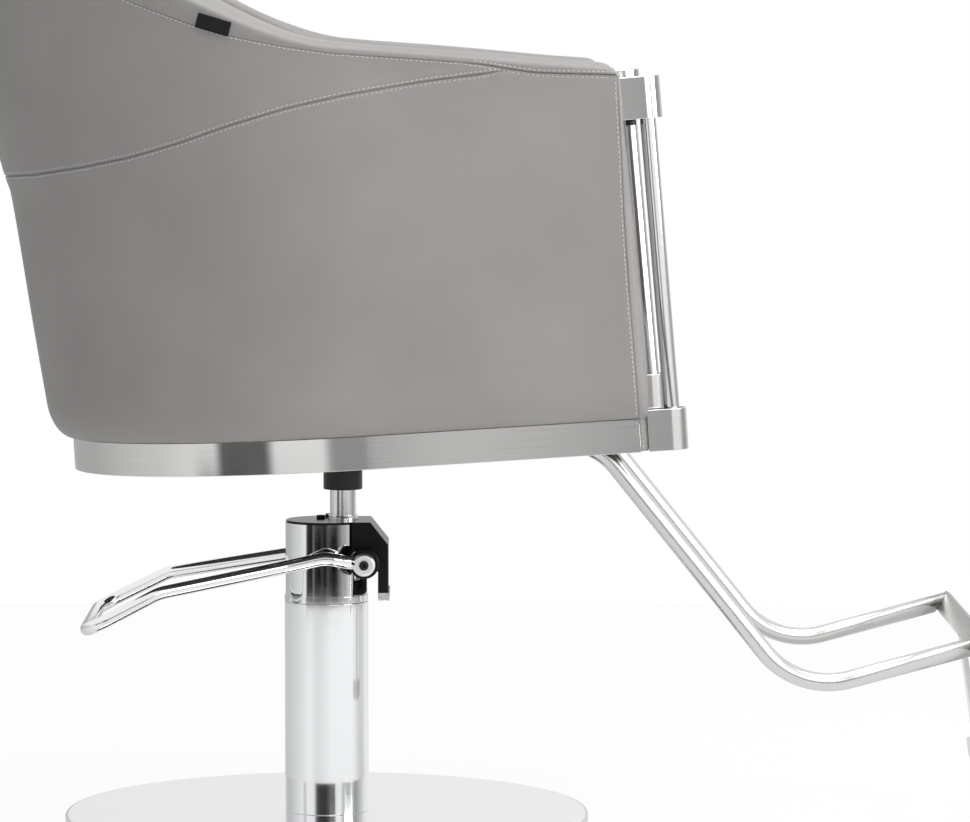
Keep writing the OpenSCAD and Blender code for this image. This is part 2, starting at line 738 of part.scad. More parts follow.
// Seat
module plate_bolt_places() {
    for (x = [-1, 1], y = [-1, 1])
        translate([rod_x + x * (plate_w / 2 - plate_bolt_inset), y * (plate_w / 2 - plate_bolt_inset), 0])
            children();
}
module seat_plate() {
    color("dimgray") seat_frame() difference() {
        translate([rod_x - plate_w / 2, -plate_w / 2, plate_z]) cube([plate_w, plate_w, plate_t - gap]);
        plate_bolt_places() translate([0, 0, plate_z - cut]) disc(plate_bolt_d + bolt_room, 2 * plate_t);
    }
}
module seat_plate_bolts() {
    color("silver") seat_frame() plate_bolt_places() {
        translate([0, 0, plate_z - plate_bolt_d / 2 - gap]) disc(2 * plate_bolt_d, plate_bolt_d / 2);
        translate([0, 0, plate_z - plate_bolt_d / 2]) disc(plate_bolt_d, plate_t + board_t);
    }
}
// The band's outline pulled in by d, with its open front at the distance x
function outline(d, x) = concat(
    [[x, half_w - d]],
    [for (k = [0:2 * arc_steps]) let (a = 90 + 90 * k / arc_steps)
        [turn_x + (rear_len - d) * cos(a), (half_w - d) * sin(a)]],
    [[x, -half_w + d]]
);
module seat_board() {
    color("burlywood") seat_frame() difference() {
        translate([0, 0, board_z]) linear_extrude(board_t)
            polygon(outline(band_t + gap, front_end));
        plate_bolt_places() translate([0, 0, board_z - cut])
            disc(plate_bolt_d + 2 * fit, board_t - board_skin + cut);
        board_bolts(fit);
    }
}
module board_bolts(extra) {
    both_sides() translate([front_x - 3 * facing_t, low_bracket_y, board_z + board_t / 2])
        rotate([0, 90, 0]) disc(bracket_bolt_d + 2 * extra, bracket_l);
}
module seat_band() {
    color("silver") seat_frame() difference() {
        linear_extrude(band_h) difference() {
            polygon(outline(0, front_end));
            polygon(outline(band_t, front_end + cut));
        }
        translate([front_end, 0, band_h]) rotate([0, 45, 0])
            cube([band_bevel, 4 * half_w, band_bevel], center = true);
    }
}

// Shell
module shell_core() {
    back = facing_t + gap + post_depth + gap;
    color("tan") seat_frame() loft([for (c = cols)
        wall_ring(c, -skin_t - gap, -skin_t - gap - core_t, back, band_h + gap, seam_z(c))]);
}
module outer_cover() {
    color([0.60, 0.59, 0.58]) seat_frame() loft([for (c = cols)
        wall_ring(c, 0, -skin_t, facing_t + gap, band_h + gap, seam_z(c))]);
}
module inner_padding() {
    color([0.62, 0.61, 0.60]) seat_frame() loft([for (c = cols) padding_ring(c, facing_t + gap)]);
}
post_y = half_w + side_out(post_z) - skin_t - gap - core_t;
module arm_posts() {
    top = arm_h - gap;
    color("burlywood") seat_frame() difference() {
        both_sides() translate([front_at(post_z) - facing_t - gap, post_y, post_z])
            rotate([-side_lean, 0, 0]) rotate([0, -front_lean, 0]) translate([-post_depth, 0, 0])
                cube([post_depth, core_t, top - post_z]);
        post_bolts(fit);
    }
}
function facing_outline() = let (hs = levels(band_h + gap, arm_h), low = rim_lift + gap) concat(
    [[half_w, low]],
    [for (w = hs) [half_w + side_out(w), w]],
    [for (s = reverse(crown_shares))
        [half_w + side_out(arm_h) - wall_t * (1 - s[0]), arm_h + crown_h * front_crown_share * s[1]]],
    [for (w = reverse(hs)) [half_w + side_out(w) - wall_t, w]],
    [[half_w + side_out(band_h) - wall_t, low]]
);
module arm_facings() {
    color([0.60, 0.59, 0.58]) seat_frame() difference() {
        both_sides() translate([front_x, 0, 0]) rotate([0, -front_lean, 0])
            translate([-facing_t, 0, 0]) rotate([90, 0, 90]) linear_extrude(facing_t)
                polygon(facing_outline());
        post_bolts(fit);
        board_bolts(fit);
    }
}
function cushion_ring(row) = let (w = lerp(band_h, band_h + cushion_h, row[0]), k = row[1]) concat(
    [for (c = cols) let (p = shell_point(c, w, -wall_t - cushion_gap, 0))
        [p[0] * k, p[1] * k, w]],
    [for (i = [1:front_steps - 1]) let (t = 1 - 2 * i / front_steps,
        y = -(half_w + side_out(w) - wall_t - cushion_gap) * t)
        [(front_at(w) + cushion_front * (1 - pow(abs(t), 6))) * k, y * k, w]]
);
module seat_cushion() {
    sides = [for (row = cushion_rows) cushion_ring(row)];
    rim = sides[len(sides) - 1];
    middle = [front_x - (front_x - turn_x + rear_len) / 2, 0];
    crown = [for (s = cushion_crown_shares) [for (p = rim)
        [lerp(middle[0], p[0], s), lerp(middle[1], p[1], s),
            band_h + cushion_h + cushion_crown * (1 - s * s)]]];
    rings = concat(sides, crown);
    n = len(rim);
    last = len(rings) - 1;
    points = concat([for (r = rings) each r],
        [[middle[0], middle[1], band_h], [middle[0], middle[1], band_h + cushion_h + cushion_crown]]);
    faces = concat(
        [for (i = [0:last - 1], j = [0:n - 1]) [i * n + j, (i + 1) * n + j, i * n + (j + 1) % n]],
        [for (i = [0:last - 1], j = [0:n - 1])
            [i * n + (j + 1) % n, (i + 1) * n + j, (i + 1) * n + (j + 1) % n]],
        [for (j = [0:n - 1]) [len(points) - 2, j, (j + 1) % n]],
        [for (j = [0:n - 1]) [len(points) - 1, last * n + (j + 1) % n, last * n + j]]
    );
    color([0.62, 0.61, 0.60]) seat_frame() polyhedron(points, faces);
}
module front_apron() {
    apron_w = 2 * (half_w + tuck - wall_t - cushion_gap);
    r = apron_r;
    color([0.60, 0.59, 0.58]) seat_frame()
        translate([front_end + gap, -apron_w / 2, rim_lift + gap]) hull()
            for (z = [r, band_h - rim_lift - 2 * gap - r]) translate([r, 0, z]) rotate([-90, 0, 0])
                cylinder(r = r, h = apron_w, $fn = 32);
}
module side_tag() {
    c = [1, tag_turn, 0];
    w = seam_z(c) - tag_drop_share * tag_h;
    p = shell_point(c, w, tag_off + tag_t / 2, 0);
    along = unit(shell_point([1, tag_turn + tag_step, 0], w, 0, 0)
        - shell_point([1, tag_turn - tag_step, 0], w, 0, 0));
    up = shell_point(c, w + tag_h / 2, 0, 0) - shell_point(c, w - tag_h / 2, 0, 0);
    out = unit(cross(along, up));
    side = cross(out, along);
    color([0.05, 0.05, 0.05]) seat_frame() multmatrix([for (i = [0:2]) [out[i], along[i], side[i], p[i]]])
        rotate([tag_slope, 0, 0]) cube([tag_t, tag_l, tag_h], center = true);
}

// Arm fronts; each bracket is a strip bent round into a U whose nose points forward
module bracket_plan(h) {
    difference() {
        union() {
            disc(bracket_w, h);
            translate([nose_out_r - bracket_l, -nose_out_r, 0]) cube([bracket_l - nose_out_r, bracket_w, h]);
        }
        translate([0, 0, -cut]) disc(bracket_w - 2 * bracket_t, h + 2 * cut);
        translate([-bracket_l, bracket_t - nose_out_r, -cut])
            cube([bracket_l, bracket_w - 2 * bracket_t, h + 2 * cut]);
    }
}
function nose_x(z) = front_at(z) + gap + bracket_l - nose_out_r;
module low_bracket_place(side) {
    seat_frame() translate([nose_x(0), side * low_bracket_y, 0]) children();
}
module high_bracket_place(side) {
    seat_frame() translate([nose_x(upper_bracket_z), side * high_bracket_y, upper_bracket_z])
        rotate([0, -front_lean, 0]) children();
}
module lower_bracket_left() { color("silver") low_bracket_place(1) bracket_plan(bracket_h); }
module lower_bracket_right() { color("silver") low_bracket_place(-1) bracket_plan(bracket_h); }
module upper_bracket_left() { color("silver") high_bracket_place(1) bracket_plan(bracket_h); }
module upper_bracket_right() { color("silver") high_bracket_place(-1) bracket_plan(bracket_h); }

// Ends of the upright tubes in the seat frame, on the given side
tube_inset = 4;
tube_forward = 2;
function tube_low(side) = [nose_x(0) + tube_forward, side * low_bracket_y, tube_inset];
function tube_high(side) = [nose_x(upper_bracket_z), side * high_bracket_y,
    upper_bracket_z + bracket_h - tube_inset];
module arm_tube(side, d, over) {
    a = tube_low(side);
    b = tube_high(side);
    way = unit(b - a);
    turn = atan2(way[1], way[0]);
    seat_frame() translate(a - way * over) rotate([0, acos(way[2]), turn]) rotate([0, 0, -turn])
        disc(d, norm(b - a) + 2 * over);
}
module arm_tube_of(side) {
    color("gainsboro") difference() {
        arm_tube(side, arm_tube_d, 0);
        arm_tube(side, arm_tube_d - 2 * band_t, cut);
    }
}
module arm_tube_left() { arm_tube_of(1); }
module arm_tube_right() { arm_tube_of(-1); }
module block_plan() {
    inner_r = nose_out_r - bracket_t - gap;
    back = nose_out_r - bracket_l + gap;
    linear_extrude(bracket_h - 2 * gap) polygon(concat([[back, inner_r], [back, -inner_r]],
        [for (k = [0:arc_steps]) inner_r * [sin(180 * k / arc_steps), -cos(180 * k / arc_steps)]]));
}
module bracket_blocks() {
    color("dimgray") difference() {
        for (side = [-1, 1]) {
            low_bracket_place(side) translate([0, 0, gap]) block_plan();
            high_bracket_place(side) translate([0, 0, gap]) block_plan();
        }
        for (side = [-1, 1]) arm_tube(side, arm_tube_d + 2 * fit, bracket_h);
        bracket_screw_places() translate([0, 0, -fit]) disc(screw_head_d / 2 + 2 * fit, bracket_h / 2);
        seat_frame() {
            board_bolts(fit);
            post_bolts(fit);
        }
    }
}
bracket_bolt_z = upper_bracket_z + bracket_h / 2;
post_bolt_y = post_y + (bracket_bolt_z - post_z) * tan(side_lean) + core_t / 2;
module post_bolts(extra) {
    both_sides() translate([front_at(bracket_bolt_z) - facing_t - post_depth / 2,
        min(post_bolt_y, high_bracket_y + nose_out_r - bracket_t - bracket_bolt_d),
        bracket_bolt_z]) rotate([0, 90, 0])
            disc(bracket_bolt_d + 2 * extra, post_depth / 2 + facing_t + bracket_bolt_d + 2 * extra);
}
module bracket_bolts() {
    color("silver") seat_frame() {
        post_bolts(0);
        intersection() {
            board_bolts(0);
            translate([-front_x, -2 * half_w, 0]) cube([2 * front_x + bracket_bolt_d, 4 * half_w, band_h]);
        }
    }
}
module bracket_screw_places() {
    for (side = [-1, 1]) high_bracket_place(side) translate([screw_back, 0, 0]) children();
}
module bracket_screws() {
    color([0.05, 0.05, 0.05]) bracket_screw_places() {
        difference() {
            translate([0, 0, -screw_head_h]) disc(screw_head_d, screw_head_h);
            translate([0, 0, -screw_head_h - cut])
                cylinder(d = screw_head_d / 2, h = screw_head_h / 2 + cut, $fn = 6);
        }
        translate([0, 0, -fit]) disc(screw_head_d / 2, bracket_h / 4);
    }
}

// Footrest
function rest_route(side) = let (y = side * rest_w / 2,
    top = [rest_top_x, y, rest_top_z], back = rest_tail * [cos(seat_tilt), 0, sin(seat_tilt)])
    rounded([top - back, top, [rest_low_x, y, rest_low_z], [rest_end_x, y, rest_end_z]],
        [0, rest_top_bend, rest_low_bend, 0], 10);
module footrest_tube(side) {
    color("silver") difference() {
        round_bar(rest_route(side), rest_tube_d, [0, 1, 0]);
        bar_place() translate([-bar_w, -rest_w, 0]) cube([3 * bar_w, 2 * rest_w, rest_w]);
    }
}
module footrest_tube_left() { footrest_tube(1); }
module footrest_tube_right() { footrest_tube(-1); }

// Bar frame: x across the bar's width, z away from the tubes' ends, origin on the rear edge
module bar_place() {
    translate([rest_end_x - rest_tube_d / 4, 0, rest_end_z - bar_w / 3])
        rotate([0, -bar_tilt, 0]) mirror([0, 0, 1]) children();
}
module flat_bar(length) {
    translate([0, bar_w / 2 - length / 2, 0]) cube([bar_w, length - bar_w, bar_t]);
    for (s = [-1, 1]) translate([bar_w / 2, s * (length - bar_w) / 2, 0]) disc(bar_w, bar_t);
}
module footrest_bar() {
    color("silver") bar_place() translate([0, 0, gap])
        flat_bar(rest_w + rest_tube_d + 2 * bar_over);
}
strap_z0 = rest_end_z - bar_w / 3;
module strap_place() {
    translate([rest_end_x - rest_tube_d / 4, 0, strap_z0]) rotate([0, -strap_lean, 0]) children();
}
module footrest_strap() {
    color("silver") difference() {
        strap_place() translate([bar_t + gap, -strap_w / 2, -tread_drop - bar_w / 2])
            cube([bar_t, strap_w, tread_drop + bar_w]);
        bar_place() translate([-bar_w, -rest_w, gap - bar_t]) cube([3 * bar_w, 2 * rest_w, 2 * bar_t + gap]);
    }
}
module footrest_tread() {
    color("silver") strap_place()
        translate([2 * bar_t + 2 * gap, 0, -tread_drop - bar_w / 2]) rotate([0, -90, 0])
            mirror([0, 0, 1]) flat_bar(tread_l);
}
module clamp_at(t) {
    seat_frame() for (s = [-1, 1])
        translate([rest_top_x - rest_tail * t, s * rest_w / 2, rest_tube_z]) children();
}
module footrest_clamps() {
    bore = rest_tube_d + 2 * gap;
    outer = bore + 2 * clamp_t;
    high = board_z - gap - rest_tube_z;
    color("silver") for (t = clamp_place_shares) clamp_at(t) difference() {
        union() {
            rotate([0, 90, 0]) cylinder(d = outer, h = clamp_l, center = true);
            translate([-clamp_l / 2, -outer / 2, 0]) cube([clamp_l, outer, high]);
            translate([-clamp_l / 2, -outer / 2 - clamp_ear, high - clamp_t])
                cube([clamp_l, outer + 2 * clamp_ear, clamp_t]);
        }
        rotate([0, 90, 0]) cylinder(d = bore, h = 2 * clamp_l, center = true);
        translate([-clamp_l, -bore / 2, 0]) cube([2 * clamp_l, bore, outer]);
        translate([-clamp_l, -outer, high]) cube([2 * clamp_l, 2 * outer, outer]);
        for (y = [-1, 1]) translate([0, y * (outer + clamp_ear) / 2, 0]) disc(clamp_bolt_d + bolt_room, outer);
    }
}
module clamp_bolts() {
    outer = rest_tube_d + 2 * clamp_t + 2 * gap;
    high = board_z - gap - rest_tube_z;
    color("silver") for (t = clamp_place_shares) clamp_at(t) for (y = [-1, 1])
        translate([0, y * (outer + clamp_ear) / 2, high - clamp_t - gap]) {
            translate([0, 0, -clamp_bolt_d / 2]) disc(1.8 * clamp_bolt_d, clamp_bolt_d / 2);
            disc(clamp_bolt_d, clamp_t + gap + gap / 2);
        }
}

floor_pad();
base_weight();
base_cover();
base_bolts();
pump_foot();
column_cover();
reservoir_tube();
pressure_cylinder();
pump_head();
rod_gland();
rod_seal();
pump_hood();
hood_screws();
hood_trim();
shaft_bushes();
plunger_spring();
plunger();
pedal_shaft();
pump_arm();
pedal_hubs();
pedal_eyes();
pedal_bolts();
pedal_rod();
piston_head();
piston_seal();
thrust_ring();
piston_rod();
seat_hub();
seat_plate();
seat_plate_bolts();
seat_board();
seat_band();
shell_core();
arm_posts();
outer_cover();
inner_padding();
arm_facings();
seat_cushion();
front_apron();
side_tag();
upper_bracket_left();
upper_bracket_right();
lower_bracket_left();
lower_bracket_right();
bracket_blocks();
bracket_bolts();
bracket_screws();
arm_tube_left();
arm_tube_right();
footrest_tube_left();
footrest_tube_right();
footrest_clamps();
clamp_bolts();
footrest_bar();
footrest_strap();
footrest_tread();
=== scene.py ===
import bmesh
import bpy
import math
import numpy as np
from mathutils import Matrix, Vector
from mathutils.kdtree import KDTree


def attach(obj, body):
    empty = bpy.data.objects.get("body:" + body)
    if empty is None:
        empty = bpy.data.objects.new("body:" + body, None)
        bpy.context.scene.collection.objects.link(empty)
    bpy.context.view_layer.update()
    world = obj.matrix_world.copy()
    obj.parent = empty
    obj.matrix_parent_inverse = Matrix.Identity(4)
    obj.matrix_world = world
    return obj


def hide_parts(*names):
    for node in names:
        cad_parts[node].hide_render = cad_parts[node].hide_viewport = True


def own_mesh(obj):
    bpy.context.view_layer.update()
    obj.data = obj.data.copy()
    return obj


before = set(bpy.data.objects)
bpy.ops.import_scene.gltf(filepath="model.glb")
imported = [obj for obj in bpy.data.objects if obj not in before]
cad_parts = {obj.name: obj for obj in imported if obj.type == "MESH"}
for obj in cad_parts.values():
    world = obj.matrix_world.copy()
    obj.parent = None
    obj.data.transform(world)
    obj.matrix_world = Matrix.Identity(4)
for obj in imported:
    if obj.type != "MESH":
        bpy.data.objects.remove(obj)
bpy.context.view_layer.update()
MM = 0.001

# Studio. A long lens looks at the chair's right side from 5.6 m away and a little above it, as
# the picture was taken. Floor and walls are plain white, and the room that polished metal mirrors
# is white with a few darker panels, which show as the stripes in the chrome.
scene = bpy.context.scene
scene.view_settings.view_transform = "Standard"
camera = bpy.data.objects.new("Camera", bpy.data.cameras.new("Camera"))
scene.collection.objects.link(camera)
scene.camera = camera
camera.location = (0.1234, -5.6242, 0.8800)
LOOKS_DOWN, LOOKS_ASIDE = math.radians(4.398), math.radians(0.486)
camera.rotation_euler = (math.pi / 2 - LOOKS_DOWN, 0, -LOOKS_ASIDE)
camera.data.lens, camera.data.sensor_width = 194.45, 36
camera.data.clip_start, camera.data.clip_end = 0.1, 100

world = bpy.data.worlds.new("Studio")
scene.world = world
world.use_nodes = True
sky = world.node_tree
sky.nodes.clear()


def join(tree, *pairs):
    """Links each pair of sockets."""
    for a, b in pairs:
        tree.links.new(a, b)


def node(tree, kind, **inputs):
    """A new node of that kind, with the values given for its inputs by name."""
    made = tree.nodes.new("ShaderNode" + kind)
    for name, value in inputs.items():
        made.inputs[name.replace("_", " ")].default_value = value
    return made


def rgba(tone):
    """A colour from a grey level or from its three shares."""
    return (*((tone,) * 3 if np.isscalar(tone) else tone), 1)


def ramp(tree, value, *stops):
    """A colour that runs with a value through (place, grey level or colour) pairs."""
    made = tree.nodes.new("ShaderNodeValToRGB")
    while len(made.color_ramp.elements) < len(stops):
        made.color_ramp.elements.new(0.5)
    for element, (place, level) in zip(made.color_ramp.elements, stops):
        element.position, element.color = place, rgba(level)
    join(tree, (value, made.inputs[0]))
    return made.outputs[0]


def calc(tree, operation, a, b=None):
    """A Math node; a and b are sockets or numbers."""
    made = tree.nodes.new("ShaderNodeMath")
    made.operation = operation
    for place, value in enumerate((a, b)):
        if isinstance(value, (int, float)):
            made.inputs[place].default_value = value
        elif value is not None:
            join(tree, (value, made.inputs[place]))
    return made.outputs[0]


def round_room(tree, source):
    """How far round the room a ray's or a point's place is, and its height. 0.5 is the camera's
    side, less is towards the chair's back, and more is towards its front."""
    split = node(tree, "SeparateXYZ")
    join(tree, (node(tree, "TexCoord").outputs[source], split.inputs[0]))
    angle = calc(tree, "ARCTAN2", split.outputs["X"], calc(
        tree, "MULTIPLY", split.outputs["Y"], -1.0))
    turn = calc(tree, "ADD", calc(tree, "DIVIDE", angle, 2 * math.pi), 0.5)
    return turn, split.outputs["Z"]


def share_of(tree, value, start, full):
    """Grows from 0 to 1 while the value goes from start to full."""
    made = node(tree, "MapRange", From_Min=start, From_Max=full)
    join(tree, (value, made.inputs[0]))
    return made.outputs[0]


def mixed(tree, share, first, second):
    """A shader that goes from the first to the second with the share."""
    made = node(tree, "MixShader")
    join(tree, (share, made.inputs[0]), (first.outputs[0], made.inputs[1]),
         (second.outputs[0], made.inputs[2]))
    return made


turn, height = round_room(sky, "Generated")
level = ramp(
    sky, turn, (0.0, 0.45), (0.145, 0.50), (0.188, 0.58), (0.224, 0.66), (0.28, 0.75), (0.326, 0.9),
    (0.350, 1.0), (0.358, 0.15), (0.405, 0.13), (0.413, 1.0), (0.457, 1.0), (0.466, 0.37),
    (0.4965, 0.37), (0.4985, 0.56), (0.5003, 0.78), (0.5018, 0.80), (0.5035, 0.62),
    (0.506, 0.37), (0.5085, 0.37), (0.515, 0.7), (0.522, 1.0), (0.64, 1.0), (0.69, 0.66),
    (0.735, 0.46), (0.78, 0.40), (0.83, 0.5), (0.9, 0.9), (1.0, 0.45),
)
high = ramp(
    sky, turn, (0.0, 0.9), (0.126, 0.6), (0.174, 0.63), (0.246, 0.80), (0.304, 0.96), (0.330, 0.63),
    (0.345, 1.0), (0.379, 1.0), (0.403, 0.94), (0.4256, 0.13), (0.448, 0.045), (0.493, 0.035),
    (0.515, 0.09), (0.537, 0.13), (0.560, 0.15), (0.575, 0.9), (0.606, 1.0), (0.630, 0.67),
    (0.655, 0.35), (0.68, 0.27), (0.708, 0.68), (0.737, 0.39), (0.769, 0.5), (0.806, 0.68),
    (0.85, 0.93), (0.9, 1.0), (1.0, 0.9),
)
# Above the level of the seat the room is darker in the middle, and its ceiling is white
panels = level
for above, start, full in ((high, 0.08, 0.13), (None, 0.18, 0.36)):
    blend = node(sky, "MixRGB", Color2=rgba(1))
    join(sky, (share_of(sky, height, start, full), blend.inputs["Fac"]),
         (panels, blend.inputs["Color1"]))
    if above:
        join(sky, (above, blend.inputs["Color2"]))
    panels = blend.outputs[0]
rays = node(sky, "LightPath").outputs
bright = node(sky, "Background", Color=rgba(1), Strength=1.0)
mirrored = node(sky, "Background", Strength=1.0)
soft = node(sky, "Background", Color=rgba(1), Strength=0.46)
in_metal = calc(sky, "MAXIMUM", rays["Is Glossy Ray"], rays["Is Transmission Ray"])
seen = mixed(sky, rays["Is Camera Ray"], mixed(sky, in_metal, soft, mirrored), bright)
join(sky, (panels, mirrored.inputs["Color"]),
     (seen.outputs[0], node(sky, "OutputWorld").inputs["Surface"]))


def lamp(name, place, target, size, watts):
    """A square soft box at place, facing target."""
    light = bpy.data.lights.new(name, "AREA")
    light.shape, light.size, light.energy = "SQUARE", size, watts
    holder = bpy.data.objects.new(name, light)
    scene.collection.objects.link(holder)
    holder.location = place
    holder.rotation_euler = (Vector(target) - Vector(place)).to_track_quat("-Z", "Y").to_euler()


lamp("Top_box", (0.5, -0.6, 3.2), (0, 0, 0.5), 2.4, 60)
lamp("Side_box", (1.5, -3.4, 1.7), (0.1, 0, 0.5), 2.0, 25)
lamp("Front_box", (3.2, -1.6, 1.4), (0.1, 0, 0.5), 1.6, 56)


def staged(name, points, faces):
    """A sheet of the studio, and the empty node tree of its material."""
    mesh = bpy.data.meshes.new(name)
    mesh.from_pydata(points, [], faces)
    sheet = bpy.data.objects.new(name, mesh)
    scene.collection.objects.link(sheet)
    made = bpy.data.materials.new(name)
    made.use_nodes = True
    made.node_tree.nodes.clear()
    mesh.materials.append(made)
    return made.node_tree


FLOOR_R, FLOOR_SIDES = 2.15, 96
tree = staged("Floor", [(FLOOR_R * math.cos(a), FLOOR_R * math.sin(a), 0)
                        for a in np.arange(FLOOR_SIDES) * 2 * math.pi / FLOOR_SIDES],
              [tuple(range(FLOOR_SIDES))])
rays = node(tree, "LightPath").outputs
matt = node(tree, "BsdfDiffuse", Color=rgba(0.92))
glow = node(tree, "Emission", Color=rgba(1), Strength=1.0)
sheen = node(tree, "Emission", Strength=1.0)
panels = ramp(tree, round_room(tree, "Object")[0], (0.0, 0.62), (0.126, 0.63), (0.246, 0.75),
              (0.304, 0.84), (0.379, 1.0), (0.426, 0.82), (0.448, 0.82), (0.493, 0.90), (0.54, 1.0),
              (0.708, 1.0), (0.737, 0.88), (0.769, 0.68), (0.806, 0.64), (0.85, 0.84), (0.9, 1.0),
              (1.0, 0.62))
white = mixed(tree, calc(tree, "MULTIPLY", rays["Is Camera Ray"], 0.94), matt, glow)
shown = mixed(tree, calc(tree, "MULTIPLY", rays["Is Glossy Ray"], 0.85), white, sheen)
join(tree, (panels, sheen.inputs["Color"]),
     (shown.outputs[0], node(tree, "OutputMaterial").inputs["Surface"]))
# Low in the room stands a dark edge that only metal sees: the dark stripes of the pump's head
EDGE_R, EDGE_LOW, EDGE_HIGH, EDGE_STEPS = 1.9, 0.030, 0.160, 70
tree = staged("Room_edge", [
    (EDGE_R * math.sin(a), -EDGE_R * math.cos(a), z) for z in (EDGE_LOW, EDGE_HIGH)
    for a in (np.linspace(0.335, 0.68, EDGE_STEPS) - 0.5) * 2 * math.pi],
    [(k, k + 1, k + 1 + EDGE_STEPS, k + EDGE_STEPS) for k in range(EDGE_STEPS - 1)])
panels = ramp(tree, round_room(tree, "Object")[0], (0.335, 0.8), (0.350, 0.035), (0.39, 0.01),
              (0.402, 0.17), (0.415, 0.03), (0.448, 0.0), (0.4706, 0.04), (0.493, 0.0),
              (0.515, 0.07), (0.537, 0.03), (0.56, 0.0), (0.583, 0.02), (0.606, 0.17), (0.63, 0.34),
              (0.655, 0.40), (0.68, 0.6))
glow = node(tree, "Emission", Strength=1.0)
seen = mixed(tree, node(tree, "LightPath").outputs["Is Glossy Ray"],
             node(tree, "BsdfTransparent"), glow)
join(tree, (panels, glow.inputs["Color"]),
     (seen.outputs[0], node(tree, "OutputMaterial").inputs["Surface"]))


# Base. A rubber pad and a steel weight lie under a polished cover pressed from sheet, whose edge
# is rolled over. Four bolts from below hold the pump's foot.
def finish(name, color, metallic, roughness, **more):
    """A material with its plain values on the shader's own sockets."""
    made = bpy.data.materials.new(name)
    made.use_nodes = True
    inputs = made.node_tree.nodes["Principled BSDF"].inputs
    more.update(Base_Color=rgba(color), Metallic=metallic, Roughness=roughness)
    for socket, value in more.items():
        inputs[socket.replace("_", " ")].default_value = value
    return made


def vary(made, scale, detail=3.0, stretch=(1, 1, 1), source="Object", distortion=0.0,
         color=None, rough=None, bump=0.0, depth=0.0001):
    """Lets noise vary the finish: colour and roughness between two values, and relief. The noise
    is in metres of the object, drawn out along an axis by a small stretch."""
    tree = made.node_tree
    inputs = tree.nodes["Principled BSDF"].inputs
    place = node(tree, "Mapping", Scale=stretch)
    noise = node(tree, "TexNoise", Scale=scale, Detail=detail, Distortion=distortion)
    cloud = noise.outputs["Fac"]
    join(tree, (node(tree, "TexCoord").outputs[source], place.inputs[0]),
         (place.outputs[0], noise.inputs["Vector"]))
    if color:
        join(tree, (ramp(tree, cloud, (0.3, color[0]), (0.7, color[1])), inputs["Base Color"]))
    if rough:
        spread = node(tree, "MapRange", To_Min=rough[0], To_Max=rough[1])
        join(tree, (cloud, spread.inputs[0]), (spread.outputs[0], inputs["Roughness"]))
    if bump:
        relief = node(tree, "Bump", Strength=bump, Distance=depth)
        join(tree, (cloud, relief.inputs["Height"]))
        if inputs["Normal"].is_linked:
            join(tree, (inputs["Normal"].links[0].from_socket, relief.inputs["Normal"]))
        join(tree, (relief.outputs[0], inputs["Normal"]))


def dress(made, *names, edge=0.0):
    """Gives CAD nodes their material, and rounds their sharp edges by the width edge."""
    for name in names:
        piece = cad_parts[name]
        piece.data.materials.clear()
        piece.data.materials.append(made)
        if edge:
            weld = piece.modifiers.new("Weld", "WELD")
            weld.merge_threshold = 1e-6
            bevel = piece.modifiers.new("Edge", "BEVEL")
            bevel.width, bevel.segments = edge, 2
            bevel.limit_method, bevel.angle_limit = "ANGLE", math.radians(35)
            bevel.harden_normals = True


def solid_of(name, points, faces, made, body, smooth=True, slot=None, replaced=()):
    """A new mesh piece in metres, with its material, on its body, standing for CAD nodes."""
    mesh = bpy.data.meshes.new(name)
    mesh.from_pydata([tuple(p) for p in points], [], [tuple(f) for f in faces])
    mesh.validate()
    outward = bmesh.new()
    outward.from_mesh(mesh)
    bmesh.ops.recalc_face_normals(outward, faces=outward.faces)
    outward.to_mesh(mesh)
    outward.free()
    piece = bpy.data.objects.new(name, mesh)
    scene.collection.objects.link(piece)
    mesh.materials.append(made)
    mesh.polygons.foreach_set("use_smooth", [smooth] * len(mesh.polygons))
    mesh.update()
    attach(piece, body)
    if replaced:
        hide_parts(*replaced)
    return piece


def ring_faces(rings, size, joined=False, first=0):
    """Faces between rings of size points each, stored one after another from point first on.
    The last ring is joined to the first one, or both ends are closed."""
    faces = [
        (first + i * size + k, first + (i + 1) % rings * size + k,
         first + (i + 1) % rings * size + (k + 1) % size, first + i * size + (k + 1) % size)
        for i in range(rings if joined else rings - 1) for k in range(size)
    ]
    if not joined:
        faces += [tuple(first + end + k for k in range(size)) for end in (0, (rings - 1) * size)]
    return faces


def lathe(profile, steps=160):
    """Points and faces of a closed ring turned about Z: profile is a loop of (radius, height)."""
    points = [
        (r * math.cos(a), r * math.sin(a), z)
        for a in np.arange(steps) * 2 * math.pi / steps for r, z in profile
    ]
    return points, ring_faces(steps, len(profile), joined=True)


def unit(v):
    """A direction, or rows of directions, of length 1."""
    return v / np.linalg.norm(v, axis=-1, keepdims=True)


def arc_at(before, here, after, r, steps, lead=0.0):
    """The corner here, turned by the radius r. A point just past each end of the arc, lead times
    r away, keeps the shading of the straight beside it straight."""
    if r <= 0:
        return [here]
    a, b = unit(before - here), unit(after - here)
    half = math.acos(max(-1, min(1, a @ b))) / 2
    whole = math.pi - 2 * half
    middle = here + unit(a + b) * r / math.sin(half)
    start, end = here + a * r / math.tan(half), here + b * r / math.tan(half)
    arc = [
        middle + ((start - middle) * math.sin((1 - t) * whole)
                  + (end - middle) * math.sin(t * whole)) / math.sin(whole)
        for t in np.linspace(0, 1, steps + 1)
    ]
    return [start + a * lead * r, *arc, end + b * lead * r] if lead else arc


def rounded_loop(corners, steps=6):
    """A closed loop of (x, y, radius) corners with each corner turned by its radius."""
    spots = np.array(corners, float)[:, :2]
    return [
        tuple(point) for k, (_, _, r) in enumerate(corners) for point in arc_at(
            spots[k - 1], spots[k], spots[(k + 1) % len(spots)], r, steps, lead=0.12)
    ]


